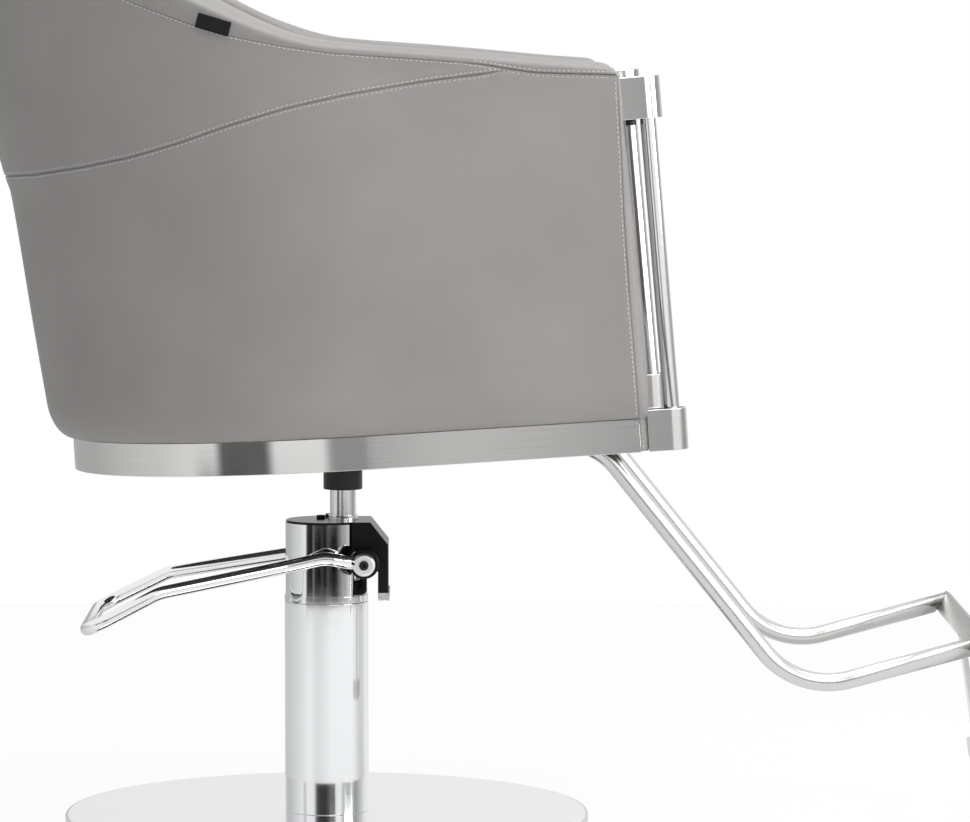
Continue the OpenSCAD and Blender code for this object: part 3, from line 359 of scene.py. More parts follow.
rubber = finish("Rubber", 0.02, 0, 0.8)
vary(rubber, 900, color=(0.015, 0.03), bump=0.3)
raw_steel = finish("Raw_steel", (0.33, 0.33, 0.34), 1, 0.5)
vary(raw_steel, 160, color=((0.27, 0.27, 0.28), (0.38, 0.38, 0.39)), rough=(0.4, 0.62), bump=0.2)
mirror = finish("Mirror_steel", (0.86, 0.865, 0.87), 1, 0.06)
vary(mirror, 26, 2, rough=(0.035, 0.085))
zinc = finish("Zinc_steel", (0.62, 0.63, 0.64), 1, 0.35)
vary(zinc, 420, rough=(0.28, 0.45), bump=0.1)
dress(rubber, "floor_pad", edge=0.0006)
dress(raw_steel, "base_weight", edge=0.0008)
dress(zinc, "base_bolts")
BASE_R, BASE_LOW, BASE_TOP, BASE_HOLE_R, SHEET = 0.2825, 0.001, 0.015, 0.025, 0.0015
points, faces = lathe(rounded_loop([
    (BASE_R, BASE_LOW, 0.0004), (BASE_R, BASE_TOP, 0.0045), (BASE_HOLE_R, BASE_TOP, 0.0002),
    (BASE_HOLE_R, BASE_TOP - SHEET, 0.0002), (BASE_R - SHEET, BASE_TOP - SHEET, 0.003),
    (BASE_R - SHEET, BASE_LOW, 0.0004),
]), steps=256)
solid_of("Base_cover", points, faces, mirror, "base", slot="mirror_steel",
         replaced=["base_cover"])


# Column. A chromed tube covers the oil tank and the pressure tube of the hydraulic pump; only
# the cover shows, standing between the base and the pump's head.
chrome = finish("Chrome", (0.84, 0.85, 0.86), 1, 0.05)
vary(chrome, 70, 2, rough=(0.03, 0.075))
vary(chrome, 14, 1, bump=0.05, depth=0.0004)
cast_iron = finish("Cast_iron", (0.08, 0.08, 0.085), 1, 0.6)
vary(cast_iron, 500, color=(0.06, 0.11), bump=0.4)
dress(cast_iron, "pump_foot", edge=0.0008)
dress(raw_steel, "reservoir_tube", "pressure_cylinder")
COLUMN_R, COLUMN_TOP = 0.045, 0.2427
points, faces = lathe(rounded_loop([
    (COLUMN_R, BASE_TOP, 0.0006), (COLUMN_R, COLUMN_TOP, 0.0006),
    (COLUMN_R - SHEET, COLUMN_TOP, 0.0003), (COLUMN_R - SHEET, BASE_TOP, 0.0003),
]))
solid_of("Column_cover", points, faces, chrome, "base", slot="chrome",
         replaced=["column_cover"])

# Pump head. A chromed casting that closes the column, with a gland that guides the rod, and the
# black sheet hood that is screwed on top and folded down in front to carry the pedal's shaft.
black_paint = finish("Black_paint", (0.010, 0.010, 0.011), 0, 0.14, Specular_IOR_Level=0.12)
vary(black_paint, 1500, color=(0.009, 0.018), rough=(0.10, 0.2), bump=0.05)
black_plastic = finish("Black_plastic", (0.014, 0.014, 0.015), 0, 0.42, Specular_IOR_Level=0.3)
vary(black_plastic, 1100, color=(0.010, 0.020), rough=(0.36, 0.5), bump=0.15)
clear_trim = finish("Clear_trim", (0.75, 0.76, 0.76), 0, 0.22, Transmission_Weight=0.35, IOR=1.45)
vary(clear_trim, 300, color=((0.7, 0.71, 0.71), (0.8, 0.81, 0.81)))
brass = finish("Brass", (0.72, 0.52, 0.25), 1, 0.3)
vary(brass, 400, color=((0.66, 0.46, 0.2), (0.76, 0.57, 0.3)), rough=(0.2, 0.4))
dress(chrome, "pump_head", "rod_gland")
dress(rubber, "rod_seal")
dress(black_paint, "pump_hood", edge=0.0006)
dress(black_plastic, "hood_screws", edge=0.0005)
dress(clear_trim, "hood_trim", edge=0.0004)
dress(brass, "shaft_bushes", edge=0.0002)

# Plunger. A hardened pin beside the rod, pushed down by the arm on the pedal's shaft and lifted
# again by a wire spring in the same bore.
PLUNGER = (0.030, -0.025)
SPRING_LOW, SPRING_HIGH, SPRING_R, WIRE = 0.2470, 0.2577, 0.0032, 0.00045


def tube(route, radius, sides=24, start=(0, 0, 1)):
    """Points and faces of a round bar along a route, its rings square to the way there."""
    way = unit(np.gradient(np.array(route, float), axis=0))
    side = np.array(start, float)
    points = []
    for i, centre in enumerate(route):
        side = unit(side - (side @ way[i]) * way[i])
        across = np.cross(way[i], side)
        r = radius[i] if np.ndim(radius) else radius
        for a in np.arange(sides) * 2 * math.pi / sides:
            points.append(centre + r * (side * math.cos(a) + across * math.sin(a)))
    return points, ring_faces(len(route), sides)


dress(zinc, "plunger", edge=0.0004)
turns, per_turn = 6, 16
coil = [
    (PLUNGER[0] + SPRING_R * math.cos(2 * math.pi * k / per_turn),
     PLUNGER[1] + SPRING_R * math.sin(2 * math.pi * k / per_turn),
     SPRING_LOW + WIRE + (SPRING_HIGH - SPRING_LOW - 2 * WIRE) * k / (turns * per_turn))
    for k in range(turns * per_turn + 1)
]
points, faces = tube(coil, WIRE, 8)
spring = solid_of("Plunger_spring", points, faces, zinc, "base", slot="zinc_steel",
                  replaced=["plunger_spring"])
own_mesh(spring)

# Piston. The chromed rod carries the whole seat and slides in the pump; a black hub, fixed to
# the seat, drops over its top.
dress(raw_steel, "piston_head", edge=0.0004)
dress(rubber, "piston_seal")
dress(brass, "thrust_ring")
rod_chrome = finish("Rod_chrome", (0.72, 0.73, 0.74), 1, 0.12)
vary(rod_chrome, 900, stretch=(1, 1, 0.02), rough=(0.08, 0.2), bump=0.06)
dress(rod_chrome, "piston_rod")
dress(black_plastic, "seat_hub", edge=0.001)


# Pedal. One steel rod, bent to a loop and chromed, is welded to an eye at each end; a bolt with
# a hexagon socket holds each eye to the shaft, outside a black hub.
def bent(corners, radii, steps):
    """A route in space with its corners rounded to the given bend radii."""
    corners = np.array(corners, float)
    route = [corners[0]]
    for k in range(1, len(corners) - 1):
        route += arc_at(*corners[k - 1:k + 2], radii[k], steps)
    return route + [corners[-1]]


PIVOT = np.array((0.0415, 0, 0.288))
EYE_Y, EYE_R, EYE_T, BORE_R = 0.0669, 0.012, 0.014, 0.0041
PEDAL_R, PEDAL_REACH, PEDAL_HALF, PEDAL_DROP = 0.007, 0.294, 0.120, 0.065
x_shares, y_shares = (0.035, 0.139, 0.284, 0.736, 1), (0, 0, 0.06, 0.7, 1)
z_shares, bends = (-0.04, -0.11, 0.03, 0.4, 1), (0, 0.040, 0.060, 0.050, 0.024)
arm = [
    (PIVOT[0] - PEDAL_REACH * x, EYE_Y + (PEDAL_HALF - EYE_Y) * y, PIVOT[2] - PEDAL_DROP * z)
    for x, y, z in zip(x_shares, y_shares, z_shares)
]
arm[0] = (PIVOT[0] - EYE_R * 0.75, EYE_Y, PIVOT[2] + 0.0012)
corners = [(x, -y, z) for x, y, z in arm] + arm[::-1]
points, faces = tube(bent(corners, list(bends) + list(bends[::-1]), 14), PEDAL_R, 40)
solid_of("Pedal_rod", points, faces, chrome, "pedal", slot="chrome", replaced=["pedal_rod"])
points, faces = [], []
for side in (-1, 1):
    ring, sheets = lathe(rounded_loop([
        (EYE_R, -EYE_T / 2, 0.0025), (EYE_R, EYE_T / 2, 0.0025),
        (BORE_R, EYE_T / 2, 0.0005), (BORE_R, -EYE_T / 2, 0.0005),
    ]), steps=64)
    faces += [tuple(len(points) + k for k in f) for f in sheets]
    points += [(PIVOT[0] + x, side * EYE_Y + z, PIVOT[2] - y) for x, y, z in ring]
eye_steel = finish("Eye_steel", (0.82, 0.82, 0.81), 1, 0.4)
vary(eye_steel, 500, rough=(0.34, 0.46), bump=0.1)
solid_of("Pedal_eyes", points, faces, eye_steel, "pedal", slot="chrome", replaced=["pedal_eyes"])
dress(raw_steel, "pedal_shaft", "pump_arm", edge=0.0004)
dress(black_paint, "pedal_hubs", edge=0.0012)
dress(black_plastic, "pedal_bolts", edge=0.0003)


# Seat frame. A steel plate and a plywood board carry the seat; a band of brushed steel runs
# round the board's edge and is cut at a slant at its two front ends.
TILT, SEAT_Z = math.radians(3.6), 0.4045
FRONT_X, TURN_X, REAR_LEN, HALF_W = 0.338, 0.050, 0.320, 0.268


def leaned(points, angle):
    """Points or directions turned about Y so that what stands upright leans back by the angle."""
    x, y, z = np.asarray(points, float).reshape(-1, 3).T
    c, s = math.cos(angle), math.sin(angle)
    return np.stack([x * c - z * s, y, x * s + z * c], 1)


def seated(points):
    """Turns points from the seat's own frame into the chair's."""
    return leaned(points, TILT) + (0, 0, SEAT_Z)


plywood = finish("Plywood", (0.55, 0.38, 0.22), 0, 0.6)
vary(plywood, 40, stretch=(1, 8, 40), color=((0.48, 0.32, 0.17), (0.62, 0.45, 0.28)), bump=0.2)
black_steel = finish("Black_steel", (0.03, 0.03, 0.032), 1, 0.5)
vary(black_steel, 700, rough=(0.4, 0.6), bump=0.2)
dress(black_steel, "seat_plate", edge=0.0008)
dress(zinc, "seat_plate_bolts", edge=0.0006)
stained = finish("Stained_board", (0.022, 0.020, 0.018), 0, 0.55)
vary(stained, 40, stretch=(1, 8, 40), color=((0.014, 0.013, 0.012), (0.034, 0.031, 0.028)),
     bump=0.2)
dress(stained, "seat_board", edge=0.0006)
brushed = finish("Brushed_steel", (0.72, 0.71, 0.70), 1, 0.09, Anisotropic=0.75,
                 Anisotropic_Rotation=0.25)
vary(brushed, 1.0, 4, stretch=(7, 2600, 1), source="UV",
     color=((0.66, 0.655, 0.645), (0.77, 0.76, 0.75)), rough=(0.07, 0.11), bump=0.10,
     depth=0.00003)
grain_way = node(brushed.node_tree, "Tangent")
grain_way.direction_type, grain_way.uv_map = "UV_MAP", "Flat"
join(brushed.node_tree, (grain_way.outputs[0],
                         brushed.node_tree.nodes["Principled BSDF"].inputs["Tangent"]))
BAND_T, BAND_H, BAND_END, SLANT = 0.002, 0.035, 0.3297, 0.0057
CUT_RINGS = 3
straight = np.concatenate([BAND_END - np.array([0, 0.0002, 0.0006, SLANT + 0.0008]),
                           np.linspace(BAND_END - SLANT - 0.001, TURN_X, 40)[1:-1]])
way = [(x, HALF_W, 0, 1) for x in straight]
for a in np.linspace(math.pi / 2, 3 * math.pi / 2, 221):
    x, y = math.cos(a), math.sin(a)
    way.append((TURN_X + REAR_LEN * x, HALF_W * y, *unit(np.array((x / REAR_LEN, y / HALF_W)))))
way += [(x, -HALF_W, 0, -1) for x in straight[::-1]]
loop = rounded_loop([(0, 0, 0.0005), (0, BAND_H - SLANT, 0), (0, BAND_H, 0.0008),
                     (-BAND_T, BAND_H, 0.0006), (-BAND_T, BAND_H - SLANT, 0),
                     (-BAND_T, 0, 0.0004)], 4)


def strip(way, section):
    """Points of a bent sheet, whose section follows a way in plan with its places and outward
    directions, and the same points laid flat."""
    points, flat, run = [], [], 0.0
    for i, (x, y, nx, ny) in enumerate(way):
        if i:
            run += math.hypot(x - way[i - 1][0], y - way[i - 1][1])
        points += [(x + nx * d, y + ny * d, h) for d, h in section]
        flat += [(run, h) for _, h in section]
    return np.array(points), flat


points, flat = strip(way, loop)
n = len(loop)
rings = points.reshape(-1, n, 3)
for end in (slice(0, CUT_RINGS), slice(-CUT_RINGS, None)):
    rings[end, :, 0] -= np.maximum(0, rings[end, :, 2] - BAND_H + SLANT)
faces = ring_faces(len(way), n)[:-2]
knees = [k for k, (d, h) in enumerate(loop) if abs(h - BAND_H + SLANT) < 1e-9]
for first in (0, (len(way) - 1) * n):
    faces += [tuple(first + k for k in range(knees[0], knees[1] + 1)),
              tuple(first + k % n for k in range(knees[1], n + knees[0] + 1))]


def laid_flat(piece, flat):
    """Gives each corner of a mesh the flat place of its point, in metres, for the brushed grain."""
    layer = piece.data.uv_layers.new(name="Flat")
    for corner in piece.data.loops:
        layer.data[corner.index].uv = flat[corner.vertex_index]


band = solid_of("Seat_band", seated(points), faces, brushed, "seat", slot="brushed_steel",
                replaced=["seat_band"])
laid_flat(band, flat)


# Shell core. A bent wooden wall round the seat, with a post in each arm that takes the brackets'
# bolts. It is all covered, and shows only from below.
dress(plywood, "shell_core", "arm_posts")
BAND_TOP, ARM_H, ARM_RISE = 0.0353, 0.388, math.tan(math.radians(8))
BACK_RISE, RISE_X, WALL = 0.109, 0.045, 0.0566
FRONT_LEAN = math.tan(math.radians(1.2))
SIDE_L = FRONT_X - TURN_X
SHEET_GAP, SWELL_H, SIDE_SWELL, REAR_SWELL = 0.0015, 0.036, 0.016, 0.020
SIDE_FLARE, REAR_FLARE, TOP_FLARE = (math.tan(math.radians(k)) for k in (2, 5.9, 14))
TOP_FLARE_AT = 0.300
turn_angles = np.linspace(math.pi / 2, 3 * math.pi / 2, 1441)


def run_along(points):
    """How far along a row of points each of them lies."""
    return np.concatenate([[0], np.cumsum(np.linalg.norm(np.diff(points, axis=0), axis=1))])


def along(at, run, points):
    """The places at some distances along a row of points."""
    return np.stack([np.interp(at, run, column) for column in points.T], -1)


turn_run = run_along(np.stack([REAR_LEN * np.cos(turn_angles), HALF_W * np.sin(turn_angles)], 1))
ROUND_L = turn_run[-1]
WHOLE_L = 2 * SIDE_L + ROUND_L


def outline(s, w, back):
    """Place and outward direction on the seat's outline, s metres from the left arm's front."""
    s, w, back = np.broadcast_arrays(np.asarray(s, float), w, back)
    share = np.clip(np.minimum(s, WHOLE_L - s) / SIDE_L, 0, 1)
    side = np.where(s < WHOLE_L / 2, 1.0, -1.0)
    a = np.interp(np.clip(s - SIDE_L, 0, ROUND_L), turn_run, turn_angles)
    front = FRONT_X - w * FRONT_LEAN - back
    flat = share < 1
    x = np.where(flat, front + (TURN_X - front) * share, TURN_X + REAR_LEN * np.cos(a))
    y = np.where(flat, side * HALF_W, HALF_W * np.sin(a))
    nx = np.where(flat, 0, np.cos(a) / REAR_LEN)
    ny = np.where(flat, side, np.sin(a) / HALF_W)
    return x, y, *np.moveaxis(unit(np.stack([nx, ny], -1)), -1, 0)


def shell(s, w, d, back=0.0083):
    """A point of the shell in the seat's frame, d metres outside its outer face."""
    s, w, d, back = np.broadcast_arrays(np.asarray(s, float), w, d, back)
    x, y, nx, ny = outline(s, w, back)
    rear = np.maximum(0, -nx) ** 1.5
    above = np.maximum(0, w - BAND_H)
    swell = np.sqrt(1 - (1 - np.clip(above / SWELL_H, 0, 1)) ** 2)
    side_out = SHEET_GAP + SIDE_SWELL * swell + above * SIDE_FLARE
    rear_out = SHEET_GAP + REAR_SWELL * swell + above * REAR_FLARE + np.maximum(
        0, w - TOP_FLARE_AT) * (TOP_FLARE - REAR_FLARE)
    o = side_out + (rear_out - side_out) * rear + d
    return np.stack([x + nx * o, y + ny * o, w + 0 * o], -1)


def from_front(s):
    """Distance along the outline to the nearer arm's front."""
    return np.minimum(s, WHOLE_L - np.asarray(s, float))


def top_edge(s):
    """Height of the wall's upper edge above the seat frame's zero."""
    x = outline(s, ARM_H, 0.0)[0]
    t = np.clip((RISE_X - x) / (RISE_X - TURN_X + REAR_LEN), 0, 1)
    return ARM_H + (FRONT_X - x) * ARM_RISE + BACK_RISE * t * t * (3 - 2 * t)


def eased(at, places, values, spread=0.02):
    """Values between given places, with the corners of the line smoothed over spread."""
    return sum(np.interp(at + k * spread, places, values) * weight for k, weight in
               ((-1, 0.15), (-0.5, 0.2), (0, 0.3), (0.5, 0.2), (1, 0.15)))


# Cover. Grey leather cloth over thin foam, sewn from panels whose seams are stitched down on both
# sides with pale thread: one seam sweeps up from the back to the arm, one follows the top roll,
# and one runs down each arm's front.
leather = finish("Grey_leather", (0.285, 0.276, 0.270), 0, 0.46, Specular_IOR_Level=0.42)
vary(leather, 9, 3, color=((0.270, 0.261, 0.255), (0.300, 0.291, 0.285)))
vary(leather, 260, 2, bump=0.12, depth=0.0006)
vary(leather, 1500, 4, distortion=0.6, rough=(0.40, 0.54), bump=0.35, depth=0.00025)
thread = finish("Pale_thread", (0.54, 0.53, 0.52), 0, 0.62, Sheen_Weight=0.2)
vary(thread, 2600, color=((0.45, 0.44, 0.43), (0.62, 0.61, 0.60)), bump=0.4)


def edge_seam(s):
    """Height of the seam under the top roll, and of the seam that sweeps over the side."""
    t = from_front(s)
    drop = eased(t, [0, 0.029, 0.058, 0.086, 0.115, 0.144, 0.19, 0.32, 0.355, 0.385, 0.42,
                     0.46, 0.53, 0.76],
                 np.array([1, 2.5, 4, 5.4, 3.4, 1.0, 0.9, 2.0, 7, 14, 21, 26, 29, 31]) * MM, 0.012)
    sweep = eased(t, [0, 0.109, 0.144, 0.20, 0.288, 0.345, 0.40, 0.45, 0.50, 0.56, 0.63, 0.76],
                  np.array([405, 400.5, 397.3, 394, 385, 375, 361, 346, 334.5, 326, 320, 317])
                  * MM, 0.015)
    return top_edge(s) - drop, sweep


THREAD_OFF = 0.003


def seam_dip(x):
    """Relief across a seam stitched on both sides, x metres from its middle."""
    x = np.abs(x) / MM
    return MM * (-1.5 * np.exp(-(x / 0.6) ** 2) - 0.3 * np.exp(-((x - 3) / 0.7) ** 2)
                 + 0.4 * np.exp(-((x - 1.7) / 0.8) ** 2) + 0.55 * np.exp(-((x - 6) / 4.5) ** 2))


def roll_share(s):
    """How deep the roll's seam is: full over the arm, where the side's seam has joined it."""
    return 1 - 0.7 * np.clip((from_front(s) - 0.13) / 0.03, 0, 1)


def ring_solid(name, rings, *details, **more):
    """A closed piece through rings of points in the seat's frame."""
    *sides, start, end = ring_faces(*rings.shape[:2])
    faces = [f[::-1] for f in sides] + [start, end[::-1]]
    return solid_of(name, seated(rings), faces, *details, **more)


near_seam = np.array([0.35, 0.7, 1.1, 1.6, 2.2, 2.7, 3.1, 3.6, 4.4, 5.6, 7.5, 10.5, 15]) * MM
both_ways = np.concatenate([-near_seam[::-1], [0], near_seam])
front_s = np.concatenate([[0], near_seam, [0.02, 0.025]])
s_cols = np.concatenate([front_s, np.arange(0.030, WHOLE_L / 2, 0.0052), [WHOLE_L / 2]])
s_cols = np.concatenate([s_cols, WHOLE_L - s_cols[:-1][::-1]])


def seam_back(w):
    """How far behind the arm's front the front seam runs."""
    return np.interp(w, [0.150, 0.245, 0.305, 0.385], np.array([8.2, 7.0, 4.8, 2.8]) * MM)


def cover_relief(s, w):
    """Relief of the outer cover: its seams, and a slow unevenness of the foam."""
    roll, sweep = edge_seam(s)
    gone = np.clip((roll - sweep) / 0.006, 0, 1)
    slow = 0.35 * MM * (np.sin(9 * s + 14 * w) + np.sin(23 * s - 31 * w + 1.3) * 0.6)
    return (seam_dip(w - sweep) * gone + seam_dip(w - roll) * roll_share(s)
            + 0.3 * seam_dip(from_front(s)) + slow * np.clip((w - BAND_TOP) / 0.03, 0, 1))


rows = []
for s in s_cols:
    roll, sweep = (float(v) for v in edge_seam(s))
    sweep = min(sweep, roll - 0.0045)
    squeeze = min(1.0, (roll - sweep) / 0.034)
    low = np.concatenate([np.linspace(0, SWELL_H, 10)[:-1] ** 1.5 / SWELL_H ** 0.5,
                          np.linspace(SWELL_H, sweep - 0.016 * squeeze - BAND_TOP, 26)[:-1]])
    high = np.linspace(sweep + 0.0155 * squeeze, roll - 0.0155 * squeeze, 14)[1:-1]
    rows.append(np.concatenate([
        BAND_TOP + low, sweep + both_ways * squeeze, high, roll - near_seam[::-1] * squeeze,
        [roll]]))
w_rows = np.array(rows)
s_rows = s_cols[:, None]
outer = shell(s_rows, w_rows, cover_relief(s_rows, w_rows), seam_back(w_rows))
inner_w = w_rows[:, ::-6]
inner = shell(s_rows, inner_w, -0.0048, seam_back(inner_w) + 0.0005)
cover = ring_solid("Outer_cover", np.concatenate([outer, inner], 1), leather, "seat",
                   slot="grey_leather", replaced=["outer_cover"])


def stitches(name, line, lift, pitch=0.0050, length=0.0038, radius=0.00054):
    """Rows of thread, each stitch a flat bead that dips into the leather at both ends. line gives
    points in the seat's frame, lift the directions away from the leather there."""
    line, lift = seated(line), leaned(lift, TILT)
    run = run_along(line)
    points, faces, sides = [], [], 6
    ends = np.array([-0.5, -0.34, 0, 0.34, 0.5])
    thick, dip = (0.35, 0.9, 1, 0.9, 0.35), (-0.9, 0.05, 0.45, 0.05, -0.9)
    for middle in np.arange(pitch / 2, run[-1] - pitch / 2, pitch):
        centre = along(middle + ends * length, run, line)
        up = unit(along(middle, run, lift))
        across = unit(np.cross(centre[-1] - centre[0], up))
        faces += ring_faces(len(ends), sides, first=len(points))
        for c, k, h in zip(centre, thick, dip):
            for a in np.arange(sides) * 2 * math.pi / sides:
                points.append(c + up * radius * (h + 0.75 * k * math.sin(a))
                              + across * radius * k * math.cos(a))
    return solid_of(name, points, faces, thread, "seat", slot="grey_leather")


def seam_threads(name, s, w, sides=(-THREAD_OFF, THREAD_OFF)):
    """The threads along a seam of the outer cover, above and below it."""
    for k, off in enumerate(sides):
        height = w + off
        here = shell(s, height, 0.0)
        away = unit(np.cross(shell(s + 1e-4, height, 0.0) - here,
                             shell(s, height + 1e-4, 0.0) - here))
        away *= np.sign((away * (shell(s, height, 0.01) - here)).sum(1))[:, None]
        stitches(f"{name}_{k}", shell(s, height, cover_relief(s, height), seam_back(height)), away)


fine = np.linspace(0.004, WHOLE_L - 0.004, 2400)
roll_line, sweep_line = edge_seam(fine)
seam_threads("Roll_stitches", fine, roll_line, (-THREAD_OFF + 0.002 * (1 - roll_share(fine)),))
shown = roll_line - sweep_line > 0.0035
seam_threads("Sweep_stitches", fine[shown], sweep_line[shown])
# The front seam's thread, down the cover's edge
EDGE_THREAD = 0.0022
upright = np.linspace(BAND_TOP + 0.004, 0.383, 700)
SIDES = (("left", 1), ("right", -1))
for side, half in SIDES:
    s = np.full(len(upright), EDGE_THREAD if half > 0 else WHOLE_L - EDGE_THREAD)
    stitches("Front_stitches_" + side, shell(s, upright, cover_relief(s, upright),
                                             seam_back(upright)), [(0, half, 0)] * len(upright))

# Inner padding and top roll. One thick foam pad lines the tub and is rolled over the wall's edge;
# its leather ends at the seam on the outside and goes down to the seat on the inside.
ROLL_HALF, ROLL_H, ROLL_FULL, BELLY_FULL = WALL / 2, 0.009, 0.0016, 0.0024
TOP_THREADS_L = 0.150


def crown_rise(s):
    """Height of the roll's crown, lower at the arm's very front."""
    return ROLL_H * (0.3 + 0.7 * np.sin(np.clip(from_front(s) / 0.015, 0, 1) * math.pi / 2))


def roll_curve(s):
    """Section of the roll's leather at s, from its seam to the seat: depth from the outer face
    and height, and how many of its points lead to the roll's inner edge."""
    top, seam = float(top_edge(s)), float(edge_seam(s)[0])
    a, power = np.linspace(0, math.pi, 81), 0.8
    depth = -ROLL_HALF + ROLL_HALF * np.sign(np.cos(a)) * np.abs(np.cos(a)) ** power
    height = top + float(crown_rise(s)) * np.sin(a).clip(0) ** power
    side = np.linspace(seam, top, 12)[:-1]
    fall = np.linspace(top, BAND_TOP + 0.0005, 40)[1:]
    d = np.concatenate([0 * side, depth, -WALL + 0 * fall])
    return np.stack([d, np.concatenate([side, height, fall])], 1), len(side) + len(depth)


near_roll = near_seam[:11]
pads = []
for s in s_cols:
    curve, n = roll_curve(s)
    run = run_along(curve)
    over = run[n - 1]
    at = np.concatenate([[0], near_roll, np.linspace(0.0085, over, 30)[1:],
                         over + (run[-1] - over) * np.linspace(0, 1, 30)[1:]])
    place = along(at, run, curve)
    slope = unit(np.gradient(place, at, axis=0))
    belly = np.clip((at - over) / (run[-1] - over), 0, 1)
    full = (ROLL_FULL * np.sin(np.clip(at / over, 0, 1) * math.pi) ** 0.7
            + BELLY_FULL * np.sin(belly * math.pi) ** 1.4)
    slow = 0.4 * MM * (np.sin(31 * s + 3 * at * 30) + np.sin(11 * s - at * 55)) * np.clip(
        at / 0.02, 0, 1) * (1 - belly ** 4)
    inner_seam = seam_dip(from_front(s) - 0.2 - SIDE_L) * np.clip((at - over) / 0.004, 0, 1)
    near_front = seam_dip(from_front(s)) * (1 - belly)
    lift = seam_dip(at) * roll_share(s) + full + slow + inner_seam + near_front
    place += np.stack([slope[:, 1], -slope[:, 0]], 1) * lift[:, None]
    top, seam = float(top_edge(s)), float(edge_seam(s)[0])
    pads.append(np.concatenate([place, [
        (-0.0236, BAND_TOP + 0.0005), (-0.0236, 0.5 * top), (-0.0236, top + 0.0003),
        (-0.0049, top + 0.0003), (-0.0049, seam - 0.0002)]]))
pad_d, pad_w = np.moveaxis(np.array(pads), 2, 0)
pad_back = np.interp(-pad_d, [0, 0.030, WALL], [0.0028, 0.0045, 0.0083])
pad = ring_solid("Inner_padding", shell(s_rows, pad_w, pad_d, pad_back), leather, "seat",
                 slot="padding", replaced=["inner_padding"])
tips = np.array([0, 0.001])
for side, half in SIDES:
    ends = []
    for s in fine[(from_front(fine) < TOP_THREADS_L) & (half * (fine - WHOLE_L / 2) < 0)]:
        curve, n = roll_curve(s)
        run = run_along(curve)
        here, ahead = along(THREAD_OFF + tips, run, curve)
        normal = unit(np.array([ahead[1] - here[1], here[0] - ahead[0]]))
        here += normal * (seam_dip(THREAD_OFF) + ROLL_FULL * math.sin(
            THREAD_OFF / run[n - 1] * math.pi) ** 0.7)
        ends.append(shell(s, here[1] + normal[1] * tips, here[0] + normal[0] * tips, 0.0028))
    ends = np.array(ends)
    stitches("Roll_stitches_top_" + side, ends[:, 0], unit(ends[:, 1] - ends[:, 0]))

# Arm facings. The front of each arm is closed by a padded strip of the same leather, sewn to the
# cover round its edge and running down over the end of the seat frame's band, whose cut corner
# shows a little leather too.
for side, half in SIDES:
    corner = [(BAND_END - 0.0004, BAND_H - SLANT + 0.0006), (BAND_END - 0.0004, BAND_H - 0.0002),
              (BAND_END - SLANT + 0.0006, BAND_H - 0.0002)]
    points = [(x, half * (HALF_W - depth), z) for depth in (0.0003, 0.0019) for x, z in corner]
    faces = [(0, 1, 2), (5, 4, 3), (0, 3, 4, 1), (1, 4, 5, 2), (2, 5, 3, 0)]
    solid_of("Band_corner_" + side, seated(points), faces, leather, "seat", smooth=False,
             slot="grey_leather")
FACING = 0.008


def facing_profile(w, tip=0.0):
    """Plan of a facing at height w, from the front seam round to the inside: how far behind the
    arm's front, and how far inside its outer face. tip draws it in towards the top."""
    back = float(seam_back(w))
    r_out = max(min(back - 0.0004, np.interp(w, [0.045, 0.085], [0.0032, 0.0090])), EDGE_THREAD)
    r_in = 0.0075
    bulge = float(np.interp(w, [0, 0.035, 0.060, 0.110, 0.260, 0.350, 0.388],
                            np.array([0.6, 2.0, 4.2, 5.0, 2.4, 1.0, 0]) * MM))
    a = np.linspace(0, math.pi / 2, 13)
    outer = np.stack([r_out - r_out * np.sin(a) + (back - r_out) * (1 - a / (math.pi / 2)),
                      r_out - r_out * np.cos(a)], 1)
    inner = np.stack([r_in - r_in * np.cos(a), WALL - r_in + r_in * np.sin(a)], 1)
    face = np.linspace(r_out, WALL - r_in, 17)[1:-1]
    p = np.concatenate([outer, np.stack([0 * face, face], 1), inner])
    share = np.clip(p[:, 1] / WALL, 0, 1)
    p[:, 0] -= bulge * np.sin(share * math.pi) ** 0.6 * (1 - p[:, 0] / FACING).clip(0, 1)
    way = unit(np.gradient(p, axis=0))
    dip = 0.3 * seam_dip(run_along(p)) + 0.0004 * math.sin(w * 90) * np.sin(share * 7)
    p += np.stack([-way[:, 1], way[:, 0]], 1) * dip[:, None]
    p[:, 0] += tip
    close = np.array([(FACING, WALL - 0.0003), (FACING, 0.0053), (max(back, tip + 0.001), 0.0053)])
    return np.concatenate([p, close])


def face_out(w):
    """How far the shell's outer face stands out over the band's at height w."""
    return float(shell(0.0, w, 0.0, 0.0)[1] - HALF_W) if w > BAND_TOP else 0.0


